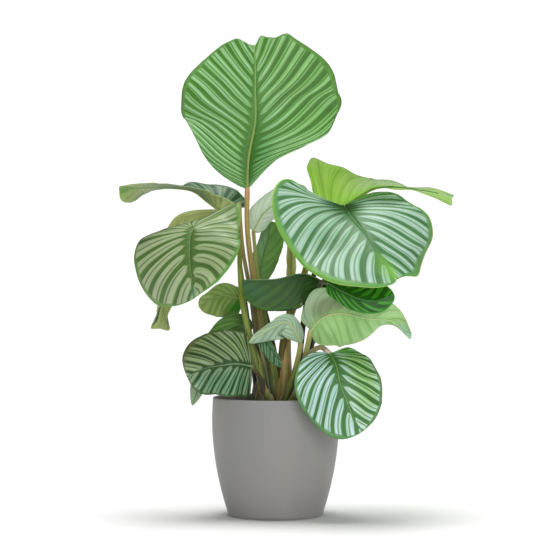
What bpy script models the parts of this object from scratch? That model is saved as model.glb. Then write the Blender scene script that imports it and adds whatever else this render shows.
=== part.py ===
"""Potted calathea, a round-leaved foliage plant of eighteen leaves in a plain grey pot.

The origin is the centre of the pot's base on the floor, +Z is up and the plant faces -Y.
Lengths in the tables are millimetres, and angles are degrees.  Each leaf is one solid that
grew as one piece: a stalk, the midrib that carries it on, and the waved blade.
"""

import math
from dataclasses import dataclass

import bmesh
import bpy
import numpy as np

OBJECT_NAME = "potted_calathea"
MM = 0.001
GAP = 0.3

# Pot
POT_HEIGHT = 168.0
POT_RADIUS = 90.3
POT_BELLY_HEIGHT = 140.0
POT_FOOT_DRAW_IN = 24.0
POT_RIM_DRAW_IN = 1.3
POT_WALL = 4.0
POT_FLOOR = 5.0
POT_CORNER = 7.0
POT_LEVELS = (140.0, 108.0, 76.0, 44.0, 20.0)
TURN_STEPS = 40

# Potting mix
SOIL_TOP = 147.0
FOOT_HEIGHT = 130.0
FOOT_STRAIGHT = 20.0
HOLE_CLEARANCE = 0.6

# Leaves
BLADE_THICKNESS = 0.8
STALK_RADIUS = 4.2
BLADE_BASE_RADIUS = 2.4
MIDRIB_TIP_RADIUS = 0.7
VEIN_CROWDING = 2.6
EDGE_RIPPLES = 4
CURVE_STEPS = 60
STALK_STEP = 28.0
WELD = 0.001


@dataclass(frozen=True)
class Half:
    """One half of a blade, on one side of its midrib.

    The outline is width * x**base_power * (1 - x)**tip_power along the blade, with its
    widest point scaled to the width.  lobe draws the base back past the stalk.  lift is the
    angle at which the half leaves the midrib, and curl how far it has bent by the margin,
    each from base to tip.  ripple and ripple_phase make the outline uneven.  Each push moves
    a stretch of the margin: where it is from base 0 to tip 1, how wide a stretch, and how far
    it goes along the midrib and out from it.
    """

    width: float
    base_power: float
    tip_power: float
    lobe: float
    lift: tuple
    curl: tuple
    ripple: float
    ripple_phase: float
    pushes: tuple = ()


@dataclass(frozen=True)
class Leaf:
    """A leaf by its midrib, the way its upper face looks, its halves and its stalk."""

    name: str
    finish: str
    spine: tuple
    face: tuple
    left: Half
    right: Half
    foot: tuple
    via: tuple
    wave: tuple
    notch: float = 0.0
    rows: int = 12
    columns: int = 4


LEAVES = (
    Leaf(
        name="crown_leaf",
        finish="green_stripes",
        spine=(
            (-40, -6, 463), (-38, -3, 508), (-29, 8, 559), (-29, 10, 602), (-29, 17, 639),
            (-32, 29, 695),
        ),
        face=((-0.2, -0.95, 0.1), (-0.1, -0.95, 0.25)),
        left=Half(111, 0.72, 0.63, -0.09, (10, 2, -7), (-10, -7, -22), -0.011, 0.06),
        right=Half(
            121, 0.88, 0.7, -0.26, (21, -7, 2), (20, -16, -23), 0.029, 0.52,
            pushes=((0.465, 0.04, -3, 5), (0.39, 0.035, -8, 2), (0.3, 0.04, -4, 1)),
        ),
        foot=(-8, 12),
        via=((-18, 11, 241), (-32, 6, 338), (-40, 0, 406)),
        wave=(4.4, 3, 0.3),
        notch=0.11,
        rows=16,
        columns=5,
    ),
    Leaf(
        name="left_reaching_leaf",
        finish="dark_back",
        spine=(
            (-76, 24, 430), (-97, 20, 446), (-118, 12, 461), (-147, 6, 465), (-182, -1, 465),
            (-222, -3, 464),
        ),
        face=((0.4, 0.15, 0.9), (0, -0.15, 1), (0, -0.1, 1), (0, 0.15, 1)),
        left=Half(35, 0.4, 0.47, 0.59, (26, 18, 14, 12, 8, 9), (0, 0, 0), 0.04, -0.07),
        right=Half(38, 0.4, 0.26, 0.69, (84, 34, -3, -8, -9, -41), (0, 0, -3), 0.029, 0.39),
        foot=(-8, -10),
        via=((-29, -11, 221), (-46, -7, 298), (-51, 14, 357), (-52, 27, 402)),
        wave=(2.3, 3, 0.21),
        rows=16,
        columns=5,
    ),
    Leaf(
        name="left_front_leaf",
        finish="green_stripes",
        spine=(
            (-51, -30, 443), (-81, -30, 425), (-113, -62, 406), (-118, -80, 373),
            (-111, -106, 309),
        ),
        face=((-0.4, -0.6, 0.5), (-0.35, -0.75, 0.65), (-0.5, -0.75, 0.05)),
        left=Half(71, 0.51, 0.41, 0.01, (-5, 3, 14), (-21, -17, -24), -0.018, 0.02),
        right=Half(
            94, 0.43, 0.31, 0.17, (-44, -15, -1, 3, -9), (-29, -23, -24), 0.033, 0.38,
            pushes=((0.24, 0.11, 6, -44), (0.62, 0.1, 0, 5), (0.78, 0.06, 3, 6)),
        ),
        foot=(-20, 2),
        via=((-26, 4, 234), (-35, 0, 312), (-46, -11, 376)),
        wave=(3.8, 3, 0.29),
        rows=16,
        columns=5,
    ),
    Leaf(
        name="right_front_leaf",
        finish="silver_stripes",
        spine=(
            (97, -15, 438), (106, -55, 422), (126, -89, 395), (144, -110, 364), (171, -117, 328),
        ),
        face=((0.1, -0.85, 0.45), (0.2, -0.8, 0.45), (0.35, -0.65, 0.65)),
        left=Half(
            113, 0.49, 0.29, 0.48, (26, -2, 0), (-45, -25, -31), 0.068, 0.2,
            pushes=((0.94, 0.035, 9, 0),),
        ),
        right=Half(111, 0.69, 0.75, 0.63, (20, -4, 10), (28, -30, -22), 0.067, 0.59),
        foot=(20, -2),
        via=((32, -3, 209), (45, -2, 305), (77, -6, 408)),
        wave=(7.2, 3, -0.04),
        notch=0.05,
        rows=16,
        columns=5,
    ),
    Leaf(
        name="right_back_leaf",
        finish="pale_back",
        spine=(
            (65, 36, 424), (89, 37, 434), (114, 41, 449), (142, 43, 466), (175, 37, 468),
            (210, 28, 463), (241, 13, 456),
        ),
        face=(
            (0.45, 0.15, 0.6), (-0.05, 0.15, 0.95), (-0.05, -0.1, 1.1), (0, 0.05, 0.9),
            (-0.05, 0.15, 1),
        ),
        left=Half(
            61, 0.42, 0.48, 0.29, (11, 10, 5, 1, -13), (-15, -14, -1), 0.03, -0.02,
            pushes=((0.86, 0.05, 6, 16),),
        ),
        right=Half(
            91, 0.41, 0.85, 0.32, (70, 31, 16, 1, 10), (-1, -14, -6), 0.062, 0.75,
            pushes=((0.15, 0.08, 7, 0), (0.5, 0.05, 0, -6), (0.93, 0.04, 9, 4)),
        ),
        foot=(12, 18),
        via=((19, 19, 241), (38, 24, 319), (54, 32, 384)),
        wave=(3.6, 4, 0.49),
        notch=-0.07,
        rows=16,
        columns=5,
    ),
    Leaf(
        name="back_small_leaf",
        finish="pale_back",
        spine=((-32, 38, 404), (-18, 43, 429), (7, 49, 448), (46, 56, 465)),
        face=((-0.3, 0.8, 0.3), (-0.2, 0.9, 0.3)),
        left=Half(20, 0.5, 0.5, 0.2, (15, 15, 10), (-20, -30, -20), 0.03, 0),
        right=Half(22, 0.5, 0.5, 0.2, (15, 15, 10), (-20, -30, -20), 0.03, 0.4),
        foot=(0, 24),
        via=((-9, 26, 240), (-25, 32, 334)),
        wave=(2.5, 3, 0),
        rows=10,
        columns=3,
    ),
    Leaf(
        name="back_upright_leaf",
        finish="dark_back",
        spine=((-18, 50, 322), (-12, 60, 357), (-4, 68, 390), (-4, 74, 419)),
        face=((0.35, 0.9, 0), (0.3, 0.9, 0)),
        left=Half(27, 0.7, 0.4, 0.1, (10, 10, 10), (-20, -30, -20), 0.03, 0),
        right=Half(17, 0.5, 0.5, 0.1, (20, 20, 20), (-20, -30, -20), 0.03, 0.4),
        foot=(6, 35),
        via=((-6, 38, 240),),
        wave=(2.5, 3, 0),
        rows=10,
        columns=3,
    ),
    Leaf(
        name="left_drooping_leaf",
        finish="dark_back",
        spine=(
            (-58, 40, 411), (-77, 52, 429), (-109, 58, 431), (-142, 62, 418), (-156, 64, 377),
            (-160, 62, 319), (-167, 56, 263),
        ),
        face=((0.1, 0.9, 0.45), (-0.2, 0.9, 0.4), (-0.7, 0.7, 0.2), (-0.3, 0.9, 0)),
        left=Half(
            7, 0.5, 0.7, 0.2, (80, 70, 30), (-5, -5, -10), 0.03, 0,
            pushes=((0.5, 0.06, 0, 5), (0.8, 0.06, 0, 4), (0.93, 0.05, 3, 7)),
        ),
        right=Half(
            46, 0.5, 1.1, 0.2, (-10, -10, -5), (-15, -15, -10), 0.03, 0.4,
            pushes=((0.92, 0.05, 3, 6),),
        ),
        foot=(-22, 36),
        via=((-31, 44, 212), (-44, 46, 305)),
        wave=(2.5, 3, 0),
    ),
    Leaf(
        name="middle_folded_leaf",
        finish="dark_back",
        spine=((86, -30, 319), (43, -34, 342), (-1, -36, 335), (-47, -32, 334)),
        face=((0, 1, 0), (0, 1, 0)),
        left=Half(48, 0.45, 0.3, 0.3, (160, 165, 160), (5, 5, 5), 0.03, 0),
        right=Half(46, 0.4, 0.3, 0.3, (-4, 0, 0), (-10, -10, -10), 0.03, 0.4),
        foot=(26, 14),
        via=((39, 12, 217), (66, -16, 270)),
        wave=(2.5, 3, 0),
    ),
    Leaf(
        name="unfurling_leaf",
        finish="dark_back",
        spine=((23, 62, 319), (23, 64, 360), (24, 66, 399), (27, 68, 438)),
        face=((0, 1, 0), (0, 1, 0)),
        left=Half(30, 0.25, 0.4, 0, (35, 35, 35), (110, 110, 110), 0, 0),
        right=Half(30, 0.25, 0.4, 0, (35, 35, 35), (110, 110, 110), 0, 0.4),
        foot=(20, 36),
        via=((17, 46, 240),),
        wave=(0, 1, 0),
        rows=10,
        columns=3,
    ),
    Leaf(
        name="right_shaded_leaf",
        finish="green_stripes",
        spine=((72, -84, 330), (91, -91, 319), (116, -97, 308), (140, -99, 306), (162, -97, 316)),
        face=((0, -0.75, 0.65), (0, -0.75, 0.65)),
        left=Half(46, 0.5, 0.4, 0.2, (0, 0, 0), (-10, -10, -10), 0.03, 0),
        right=Half(18, 0.5, 0.4, 0.2, (-30, -30, -30), (-20, -20, -20), 0.03, 0.4),
        foot=(40, 4),
        via=((50, -8, 235), (57, -47, 303), (63, -71, 330)),
        wave=(2.5, 3, 0),
    ),
    Leaf(
        name="right_arching_leaf",
        finish="pale_back",
        spine=(
            (49, -56, 263), (65, -64, 281), (91, -67, 288), (128, -75, 281), (163, -58, 276),
            (191, -60, 248),
        ),
        face=((0.3, 0.85, -0.25), (0.05, 0.9, 0.3), (0.15, 0.85, 0.35), (0.3, 0.75, 0.65)),
        left=Half(49, 1.37, 2.34, 0.4, (-9, 10, 19), (-19, -6, 4), 0.044, 0.14),
        right=Half(
            36, 0.38, 0.75, 0.33, (10, 0, 5), (-15, -20, -5), 0.055, 0.7,
            pushes=((0.31, 0.05, 0, -6), (0.4, 0.035, -3, 5)),
        ),
        foot=(32, -10),
        via=((39, -24, 200), (43, -44, 233)),
        wave=(4.5, 3, 0.11),
        notch=0.03,
    ),
    Leaf(
        name="middle_pale_leaf",
        finish="pale_back",
        spine=((36, -30, 245), (27, -35, 261), (15, -39, 275), (-9, -45, 266), (-38, -46, 246)),
        face=((-0.5, 0.8, 0.1), (-0.35, 0.75, 0.5), (-0.45, 0.7, 0.4)),
        left=Half(13, 0.46, 0.8, 0.1, (12, 8, 5), (-19, -30, -20), 0.03, 0),
        right=Half(25, 1, 0.9, 0, (10, 8, 10), (-20, -28, -18), 0.03, 0.4),
        foot=(8, -22),
        via=((26, -28, 202),),
        wave=(1.8, 3, -0.12),
    ),
    Leaf(
        name="small_striped_leaf",
        finish="green_stripes",
        spine=((-25, -20, 258), (-13, -24, 247), (-2, -26, 233), (9, -26, 212)),
        face=((0, -1, 0.3), (0, -1, 0.2)),
        left=Half(4, 0.5, 0.5, 0.1, (15, 15, 10), (-20, -30, -20), 0.03, 0),
        right=Half(14, 0.5, 0.5, 0.1, (15, 15, 10), (-20, -30, -20), 0.03, 0.4),
        foot=(-4, -27),
        via=((-13, -22, 204),),
        wave=(2.5, 3, 0),
        rows=10,
        columns=3,
    ),
    Leaf(
        name="low_left_leaf",
        finish="green_stripes",
        spine=(
            (-34, -36, 213), (-54, -50, 217), (-76, -58, 215), (-98, -65, 211), (-123, -69, 201),
        ),
        face=((-0.05, -0.95, 0.35), (-0.15, -0.9, 0.3)),
        left=Half(47, 0.24, 0.31, 0.44, (-4, 8, 1), (-18, -7, -12), 0.022, 0.11),
        right=Half(57, 0.29, 0.4, 0.29, (0, -4, 1), (-17, -19, -15), 0.025, 0.44),
        foot=(-16, -24),
        via=((-19, -27, 191),),
        wave=(3, 3, 0.22),
        rows=16,
        columns=5,
    ),
    Leaf(
        name="low_back_leaf",
        finish="dark_back",
        spine=((-38, 12, 257), (-51, 12, 270), (-70, 6, 260), (-90, -4, 220), (-112, -12, 156)),
        face=((-0.2, 0.9, 0.4), (-0.6, 0.8, 0.1), (-0.3, 0.9, 0)),
        left=Half(26, 0.5, 0.5, 0.2, (15, 15, 10), (-20, -30, -20), 0.03, 0),
        right=Half(26, 0.5, 0.5, 0.2, (15, 15, 10), (-20, -30, -20), 0.03, 0.4),
        foot=(-24, 12),
        via=((-31, 11, 203),),
        wave=(2.5, 3, 0),
    ),
    Leaf(
        name="left_olive_leaf",
        finish="dark_back",
        spine=((-46, 18, 308), (-56, 15, 309), (-73, 12, 312), (-91, 6, 307), (-109, 1, 296)),
        face=((-0.2, 0.85, 0.5), (-0.33, 0.88, 0.33)),
        left=Half(18, 0.37, 0.55, 0.26, (15, 15, 9), (-21, -30, -21), 0.03, 0.04),
        right=Half(36, 0.41, 0.51, 0.34, (15, 14, 11), (-20, -31, -20), 0.03, 0.47),
        foot=(-13, 24),
        via=((-24, 23, 205), (-37, 24, 262)),
        wave=(3, 3, -0.25),
    ),
    Leaf(
        name="low_right_leaf",
        finish="silver_stripes",
        spine=(
            (75, -78, 233), (83, -99, 217), (89, -108, 191), (99, -111, 165), (108, -107, 143),
            (119, -105, 127),
        ),
        face=((0.2, -0.7, 0.65), (0, -1, 0.15), (0.2, -0.9, 0)),
        left=Half(55, 0.54, 0.35, 0.47, (11, 2, -2), (-15, -18, -21), 0.016, 0.05),
        right=Half(62, 0.45, 0.52, 0.14, (15, 1, 4), (-20, -15, -19), 0.012, 0.36),
        foot=(22, -20),
        via=((33, -38, 200), (47, -58, 230), (62, -70, 241)),
        wave=(2.9, 3, -0.27),
        rows=16,
        columns=5,
    ),
)

FINISHES = {
    "grey_pot": ((0.26, 0.26, 0.26), 0.75),
    "potting_mix": ((0.045, 0.026, 0.017), 0.95),
    "green_stripes": ((0.20, 0.40, 0.17), 0.42),
    "silver_stripes": ((0.30, 0.48, 0.29), 0.42),
    "pale_back": ((0.30, 0.50, 0.13), 0.5),
    "dark_back": ((0.12, 0.19, 0.07), 0.5),
}


def clear_scene():
    """Remove whatever the file opened with."""
    for obj in list(bpy.data.objects):
        bpy.data.objects.remove(obj, do_unlink=True)


def new_collection(name):
    collection = bpy.data.collections.new(name)
    bpy.context.scene.collection.children.link(collection)
    return collection


def new_material(name, colour, roughness):
    material = bpy.data.materials.new(name)
    material.use_nodes = True
    shader = material.node_tree.nodes["Principled BSDF"]
    shader.inputs["Base Color"].default_value = (*colour, 1.0)
    shader.inputs["Roughness"].default_value = roughness
    shader.inputs["Metallic"].default_value = 0.0
    return material


def new_object(name, data, collection, material=None):
    obj = bpy.data.objects.new(name, data)
    collection.objects.link(obj)
    if material is not None:
        data.materials.append(material)
    return obj


def bake(obj):
    """Make an object's modifiers, or a curve's thickness, into a plain mesh of its own."""
    graph = bpy.context.evaluated_depsgraph_get()
    mesh = bpy.data.meshes.new_from_object(obj.evaluated_get(graph))
    baked = bpy.data.objects.new(obj.name + "_mesh", mesh)
    baked.matrix_world = obj.matrix_world
    for collection in obj.users_collection:
        collection.objects.link(baked)
    name = obj.name
    bpy.data.objects.remove(obj, do_unlink=True)
    baked.name = name
    return baked


def boolean(obj, others, operation, solver="EXACT"):
    """Join a collection's solids to an object, or cut them from it, and remove them."""
    modifier = obj.modifiers.new(operation.title(), "BOOLEAN")
    modifier.operation = operation
    modifier.solver = solver
    modifier.operand_type = "COLLECTION"
    modifier.collection = others
    result = bake(obj)
    for other in list(others.objects):
        bpy.data.objects.remove(other, do_unlink=True)
    bpy.data.collections.remove(others)
    return result


def turned(name, profile, collection, material):
    """A solid turned from a profile of (radius, height) points, top to bottom outside."""
    points = [(radius * MM, 0.0, height * MM) for radius, height in profile]
    edges = [(i, i + 1) for i in range(len(points) - 1)]
    mesh = bpy.data.meshes.new(name)
    mesh.from_pydata(points, edges, [])
    obj = new_object(name, mesh, collection, material)
    screw = obj.modifiers.new("Screw", "SCREW")
    screw.angle = math.tau
    screw.steps = TURN_STEPS
    screw.render_steps = TURN_STEPS
    screw.use_merge_vertices = True
    screw.merge_threshold = 0.00001
    return bake(obj)


def pot_radius(height):
    """Outer radius of the pot: a barrel that narrows to its foot and a little at the rim."""
    if height < POT_BELLY_HEIGHT:
        return POT_RADIUS - POT_FOOT_DRAW_IN * (1 - height / POT_BELLY_HEIGHT) ** 2
    over = (height - POT_BELLY_HEIGHT) / (POT_HEIGHT - POT_BELLY_HEIGHT)
    return POT_RADIUS - POT_RIM_DRAW_IN * over


def inner_profile():
    """Points up the pot's inner wall, from its floor to just under the rim."""
    levels = [POT_FLOOR + POT_WALL, *reversed(POT_LEVELS), POT_HEIGHT - POT_WALL / 2]
    return [(pot_radius(z) - POT_WALL, z) for z in levels]


def inner_radius(height):
    """Radius of the turned inner wall, straight between the points of its profile."""
    radii, heights = zip(*inner_profile())
    return float(np.interp(height, heights, radii))


def arc(centre, radius, start, end, steps):
    """Points along an arc, by angles in degrees from the radius direction."""
    angles = [math.radians(start + (end - start) * i / steps) for i in range(steps + 1)]
    return [
        (centre[0] + radius * math.cos(a), centre[1] + radius * math.sin(a)) for a in angles
    ]


def make_pot(collection, material):
    lip = POT_WALL / 2
    rim = (pot_radius(POT_HEIGHT - lip) - lip, POT_HEIGHT - lip)
    foot = (pot_radius(POT_CORNER) - POT_CORNER, POT_CORNER)
    inside = inner_profile()
    profile = [(0.0, POT_FLOOR), (inside[0][0] - POT_WALL, POT_FLOOR), *inside[:-1]]
    profile += arc(rim, lip, 180, 0, 4)
    profile += [(pot_radius(z), z) for z in POT_LEVELS]
    profile += arc(foot, POT_CORNER, 0, -90, 3)
    profile.append((0.0, 0.0))
    return turned("pot", profile, collection, material)


def make_soil(collection, material, leaves):
    """The potting mix fills the pot to below its rim, with a hole for each stalk."""
    top = [(0.0, SOIL_TOP), (inner_radius(SOIL_TOP) - GAP, SOIL_TOP)]
    wall = [(inner_radius(z) - GAP, z) for z in POT_LEVELS]
    corner = inner_radius(0) - GAP
    low = POT_FLOOR + GAP
    bottom = [(corner, POT_FLOOR + POT_WALL), (corner - POT_WALL, low), (0.0, low)]
    soil = turned("soil", top + wall + bottom, collection, material)
    holes = new_collection("holes")
    for leaf in leaves:
        foot = (*leaf.foot, FOOT_HEIGHT - GAP)
        head = (*leaf.foot, SOIL_TOP + POT_WALL)
        radius = STALK_RADIUS + HOLE_CLEARANCE
        tube(leaf.name + "_hole", [foot, head], [radius, radius], holes)
    return boolean(soil, holes, "DIFFERENCE")


def smooth_path(points, steps):
    """A smooth curve through all the points, with a number of steps between two of them."""
    known = np.asarray(points, float)
    known = np.vstack([2 * known[0] - known[1], known, 2 * known[-1] - known[-2]])
    u = np.linspace(0, 1, steps, endpoint=False)[:, None]
    spans = []
    for a, b, c, d in zip(known, known[1:], known[2:], known[3:]):
        cubic = (3 * b - a - 3 * c + d) * u**3 + (2 * a - 5 * b + 4 * c - d) * u**2
        spans.append(0.5 * (cubic + (c - a) * u + 2 * b))
    return np.vstack([*spans, known[-2:-1]])


class Curve:
    """A smooth curve through a few points, measured along its own length."""

    def __init__(self, points):
        self.points = smooth_path(points, CURVE_STEPS)
        steps = np.linalg.norm(np.diff(self.points, axis=0), axis=1)
        self.distances = np.concatenate([[0.0], np.cumsum(steps)])
        self.length = self.distances[-1]
        tangents = np.gradient(self.points, self.distances, axis=0)
        self.tangents = tangents / np.linalg.norm(tangents, axis=1, keepdims=True)

    def at(self, distance):
        """Positions and directions at distances along it, straight on past its ends."""
        position = columns_at(distance, self.distances, self.points)
        direction = unit(columns_at(distance, self.distances, self.tangents))
        beyond = distance - np.clip(distance, 0, self.length)
        return position + direction * beyond[..., None], direction


def columns_at(x, known, table):
    return np.stack([np.interp(x, known, column) for column in table.T], axis=-1)


def unit(vectors):
    return vectors / np.linalg.norm(vectors, axis=-1, keepdims=True)


def keyed(values, x):
    """Values given at equal steps from base to tip, read at shares x of the length."""
    return np.interp(x, np.linspace(0, 1, len(values)), values)


def upper_normal(leaf, share, direction):
    """The way the midrib's upper side faces, square to the midrib."""
    known = np.linspace(0, 1, len(leaf.face))
    facing = columns_at(share, known, np.asarray(leaf.face, float))
    along = (facing * direction).sum(axis=-1, keepdims=True)
    return unit(facing - along * direction)


def margin(leaf, half, length, a):
    """How far along and out from the midrib the margin lies, for a from base 0 to tip 1."""
    x = (1 - np.cos(math.pi * a)) / 2
    fullness = x**half.base_power * (1 - x) ** half.tip_power
    widest = half.base_power / (half.base_power + half.tip_power)
    fullness /= widest**half.base_power * (1 - widest) ** half.tip_power
    uneven = np.sin(math.tau * (EDGE_RIPPLES * a + half.ripple_phase)) * np.sin(math.pi * a)
    out = half.width * fullness * (1 + half.ripple * uneven)
    along = x - half.lobe * np.sin(math.pi * a) ** 2 * (1 - x) ** 2
    along = length * (along - leaf.notch * np.exp(-(((1 - a) / 0.1) ** 2)))
    for where, spread, forward, outward in half.pushes:
        hump = np.exp(-(((a - where) / spread) ** 2)) * np.clip(30 * np.minimum(a, 1 - a), 0, 1)
        along = along + forward * hump
        out = np.maximum(out + outward * hump, 0)
    return along, out


def even_steps(leaf, half, length):
    """Row values from base to tip that step evenly along the margin."""
    a = np.linspace(0, 1, 241)
    along, out = margin(leaf, half, length, a)
    walked = np.concatenate([[0.0], np.cumsum(np.hypot(np.diff(along), np.diff(out)))])
    return np.interp(np.linspace(0, 1, leaf.rows + 1), walked / walked[-1], a)


def half_points(leaf, half, curve, side):
    """Points of one half, row by row, each row from the midrib out along a curved vein."""
    rows = even_steps(leaf, half, curve.length)[:, None]
    row_share = np.linspace(0, 1, leaf.rows + 1)[:, None]
    out_share = np.linspace(0, 1, leaf.columns + 1)[None, :]
    edge_along, edge_out = margin(leaf, half, curve.length, rows)
    start = curve.length * row_share**VEIN_CROWDING * (1 - leaf.notch)
    middle = 2 * out_share * (1 - out_share)
    along = (1 - out_share) ** 2 * start + out_share**2 * edge_along
    along = along + middle * (start + 0.28 * (edge_along - start))
    out = middle * 0.6 * edge_out + out_share**2 * edge_out

    share = np.clip(along / curve.length, 0, 1)
    lift = np.radians(keyed(half.lift, share))
    bend = np.radians(keyed(half.curl, share)) / half.width
    bend = np.where(np.abs(bend) < 1e-6, 1e-6, bend)
    angle = lift + bend * out
    sideways = (np.sin(angle) - np.sin(lift)) / bend
    upwards = (np.cos(lift) - np.cos(angle)) / bend

    height, count, phase = leaf.wave
    phase = phase + (0.35 if side > 0 else 0.0)
    wave = height * out_share**2.5 * np.sin(math.tau * (count * rows + phase))
    wave = wave * np.sqrt(np.clip(np.sin(math.pi * row_share), 0, 1))
    sideways = sideways - wave * np.sin(angle)
    upwards = upwards + wave * np.cos(angle)

    position, direction = curve.at(along)
    normal = upper_normal(leaf, share, direction)
    across = np.cross(direction, normal) * side
    return position + across * sideways[..., None] + normal * upwards[..., None]


def blade_points(leaf, curve):
    """Rows of points over the whole blade, each from the right margin to the left one."""
    right = half_points(leaf, leaf.right, curve, 1)
    left = half_points(leaf, leaf.left, curve, -1)
    return np.concatenate([right[:, :0:-1], left], axis=1)


def make_blade(leaf, points, collection, material):
    """The blade as a thin solid: a grid moved to shape, with the same triangles on both faces."""
    last_column = points.shape[1] - 1
    grid = bmesh.new()
    bmesh.ops.create_grid(grid, x_segments=leaf.rows, y_segments=last_column, size=1.0)
    ends = {0: [], leaf.rows: []}
    for vertex in grid.verts:
        row = round((vertex.co.x + 1) / 2 * leaf.rows)
        column = round((vertex.co.y + 1) / 2 * last_column)
        vertex.co = points[row, column] * MM
        if row in ends:
            ends[row].append(vertex)
    for row, vertices in ends.items():
        bmesh.ops.pointmerge(grid, verts=vertices, merge_co=points[row, leaf.columns] * MM)
    bmesh.ops.triangulate(grid, faces=grid.faces)
    mesh = bpy.data.meshes.new(leaf.name)
    grid.to_mesh(mesh)
    grid.free()
    blade = new_object(leaf.name, mesh, collection, material)
    solidify = blade.modifiers.new("Solidify", "SOLIDIFY")
    solidify.thickness = BLADE_THICKNESS * MM
    solidify.offset = 0.0
    return blade


def tube(name, points, radii, collection):
    """A closed round tube through points, with a radius at each."""
    curve = bpy.data.curves.new(name, "CURVE")
    curve.dimensions = "3D"
    curve.bevel_depth = MM
    curve.bevel_resolution = 1
    curve.use_fill_caps = True
    spline = curve.splines.new("POLY")
    spline.points.add(len(points) - 1)
    for target, point, radius in zip(spline.points, points, radii):
        target.co = (*(np.asarray(point) * MM), 1.0)
        target.radius = radius
    solid = bake(new_object(name, curve, collection))
    welded = bmesh.new()
    welded.from_mesh(solid.data)
    bmesh.ops.remove_doubles(welded, verts=welded.verts, dist=WELD * MM)
    welded.to_mesh(solid.data)
    welded.free()
    return solid


def make_stalk(leaf, curve, collection):
    """The stalk, from its foot in the potting mix, and the midrib that carries it on below."""
    foot = (*leaf.foot, FOOT_HEIGHT)
    straight = (*leaf.foot, FOOT_HEIGHT + FOOT_STRAIGHT)
    path = Curve([straight, *leaf.via, leaf.spine[0]])
    steps = math.ceil(path.length / STALK_STEP)
    risen, _ = path.at(np.linspace(0, path.length, steps + 1))
    stalk_radii = np.linspace(STALK_RADIUS, BLADE_BASE_RADIUS, steps + 1)

    share = (np.arange(leaf.rows // 2, leaf.rows) / leaf.rows) ** VEIN_CROWDING
    share = share * (1 - leaf.notch)
    centre, direction = curve.at(share * curve.length)
    rib_radii = np.interp(share, [0, 1], [BLADE_BASE_RADIUS, MIDRIB_TIP_RADIUS])
    below = upper_normal(leaf, share, direction) * (0.95 * rib_radii)[:, None]
    positions = np.vstack([foot, risen, centre - below])
    radii = np.concatenate([[STALK_RADIUS], stalk_radii, rib_radii])
    return tube(leaf.name + "_stalk", positions, radii, collection)


def make_leaf(leaf, collection, material):
    """One leaf as one solid.  The exact solver loses a blade that folds over on itself."""
    curve = Curve(leaf.spine)
    blade = make_blade(leaf, blade_points(leaf, curve), collection, material)
    stalks = new_collection(leaf.name + "_stalks")
    make_stalk(leaf, curve, stalks)
    return boolean(blade, stalks, "UNION", solver="MANIFOLD")


def main():
    clear_scene()
    plant = new_collection(OBJECT_NAME)
    materials = {name: new_material(name, *finish) for name, finish in FINISHES.items()}
    make_pot(plant, materials["grey_pot"])
    make_soil(plant, materials["potting_mix"], LEAVES)
    for leaf in LEAVES:
        make_leaf(leaf, plant, materials[leaf.finish])


main()
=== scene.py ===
"""Potted calathea: the looks of a round-leaved foliage plant in a plain grey pot.

Every leaf is laid out as in the solid model, from its midrib, its two halves and its stalk,
but with fine rows that follow its side veins, so that the bands, pleats and ribs can follow
them too.  Lengths in the tables are millimetres, angles are degrees and colours are sRGB.
"""

from __future__ import annotations

import logging
import math
from dataclasses import dataclass, fields
from enum import Enum
from types import SimpleNamespace

import bmesh
import bpy
import numpy as np
from mathutils import Matrix, Vector, noise

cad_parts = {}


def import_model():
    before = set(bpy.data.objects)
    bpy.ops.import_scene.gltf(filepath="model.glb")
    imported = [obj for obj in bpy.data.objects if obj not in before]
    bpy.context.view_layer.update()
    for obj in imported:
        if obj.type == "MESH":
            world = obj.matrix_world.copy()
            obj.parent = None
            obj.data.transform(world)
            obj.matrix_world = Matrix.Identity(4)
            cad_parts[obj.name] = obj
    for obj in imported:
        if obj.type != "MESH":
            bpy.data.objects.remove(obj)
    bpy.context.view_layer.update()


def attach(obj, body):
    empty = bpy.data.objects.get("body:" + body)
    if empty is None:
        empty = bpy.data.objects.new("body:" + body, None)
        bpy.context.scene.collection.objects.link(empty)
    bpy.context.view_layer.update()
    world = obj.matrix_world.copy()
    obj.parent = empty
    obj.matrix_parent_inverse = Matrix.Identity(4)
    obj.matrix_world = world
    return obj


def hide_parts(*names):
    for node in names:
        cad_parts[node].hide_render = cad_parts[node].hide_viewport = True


LOG = logging.getLogger("potted_calathea")
MM = 0.001
BODY = "root"

Array = np.ndarray
Colour = tuple[float, float, float]
Point = tuple[float, float, float]
Profile = list[tuple[float, float]]
Material = bpy.types.Material
Object = bpy.types.Object
Tree = bpy.types.NodeTree


def linear(colour: Colour) -> tuple[float, ...]:
    """Turn an sRGB colour of 0 to 255 into linear values with a full alpha."""
    values = [c / 255 for c in colour]
    return (*(v / 12.92 if v <= 0.04045 else ((v + 0.055) / 1.055) ** 2.4 for v in values), 1.0)


@dataclass(frozen=True)
class Surface:
    """What a finish sets on its own shader: its gloss, and its relief's depth in metres."""

    roughness: float
    relief: float
    depth: float
    specular: float = 0.5
    sheen: float = 0.0


@dataclass(frozen=True)
class Face:
    """The look of one face of a leaf: its colours and how its bands and veins show."""

    band: Colour
    band_light: Colour
    stripe: Colour
    # the lightest colour of the pale stripes: their own silvery core, with a painted sheen streaked
    # along it
    core: Colour
    margin: Colour
    edge: Colour
    midrib: Colour
    share: float = 0.42
    feather: float = 0.06
    line: float = 0.0
    vein: float = 0.25
    rim: float = 0.96
    centre: float = 0.08
    wander: float = 0.25
    midrib_width: float = 0.12
    taper: float = 0.3
    surface: Surface = Surface(0.45, 0.5, 0.0008, 0.35)


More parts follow.
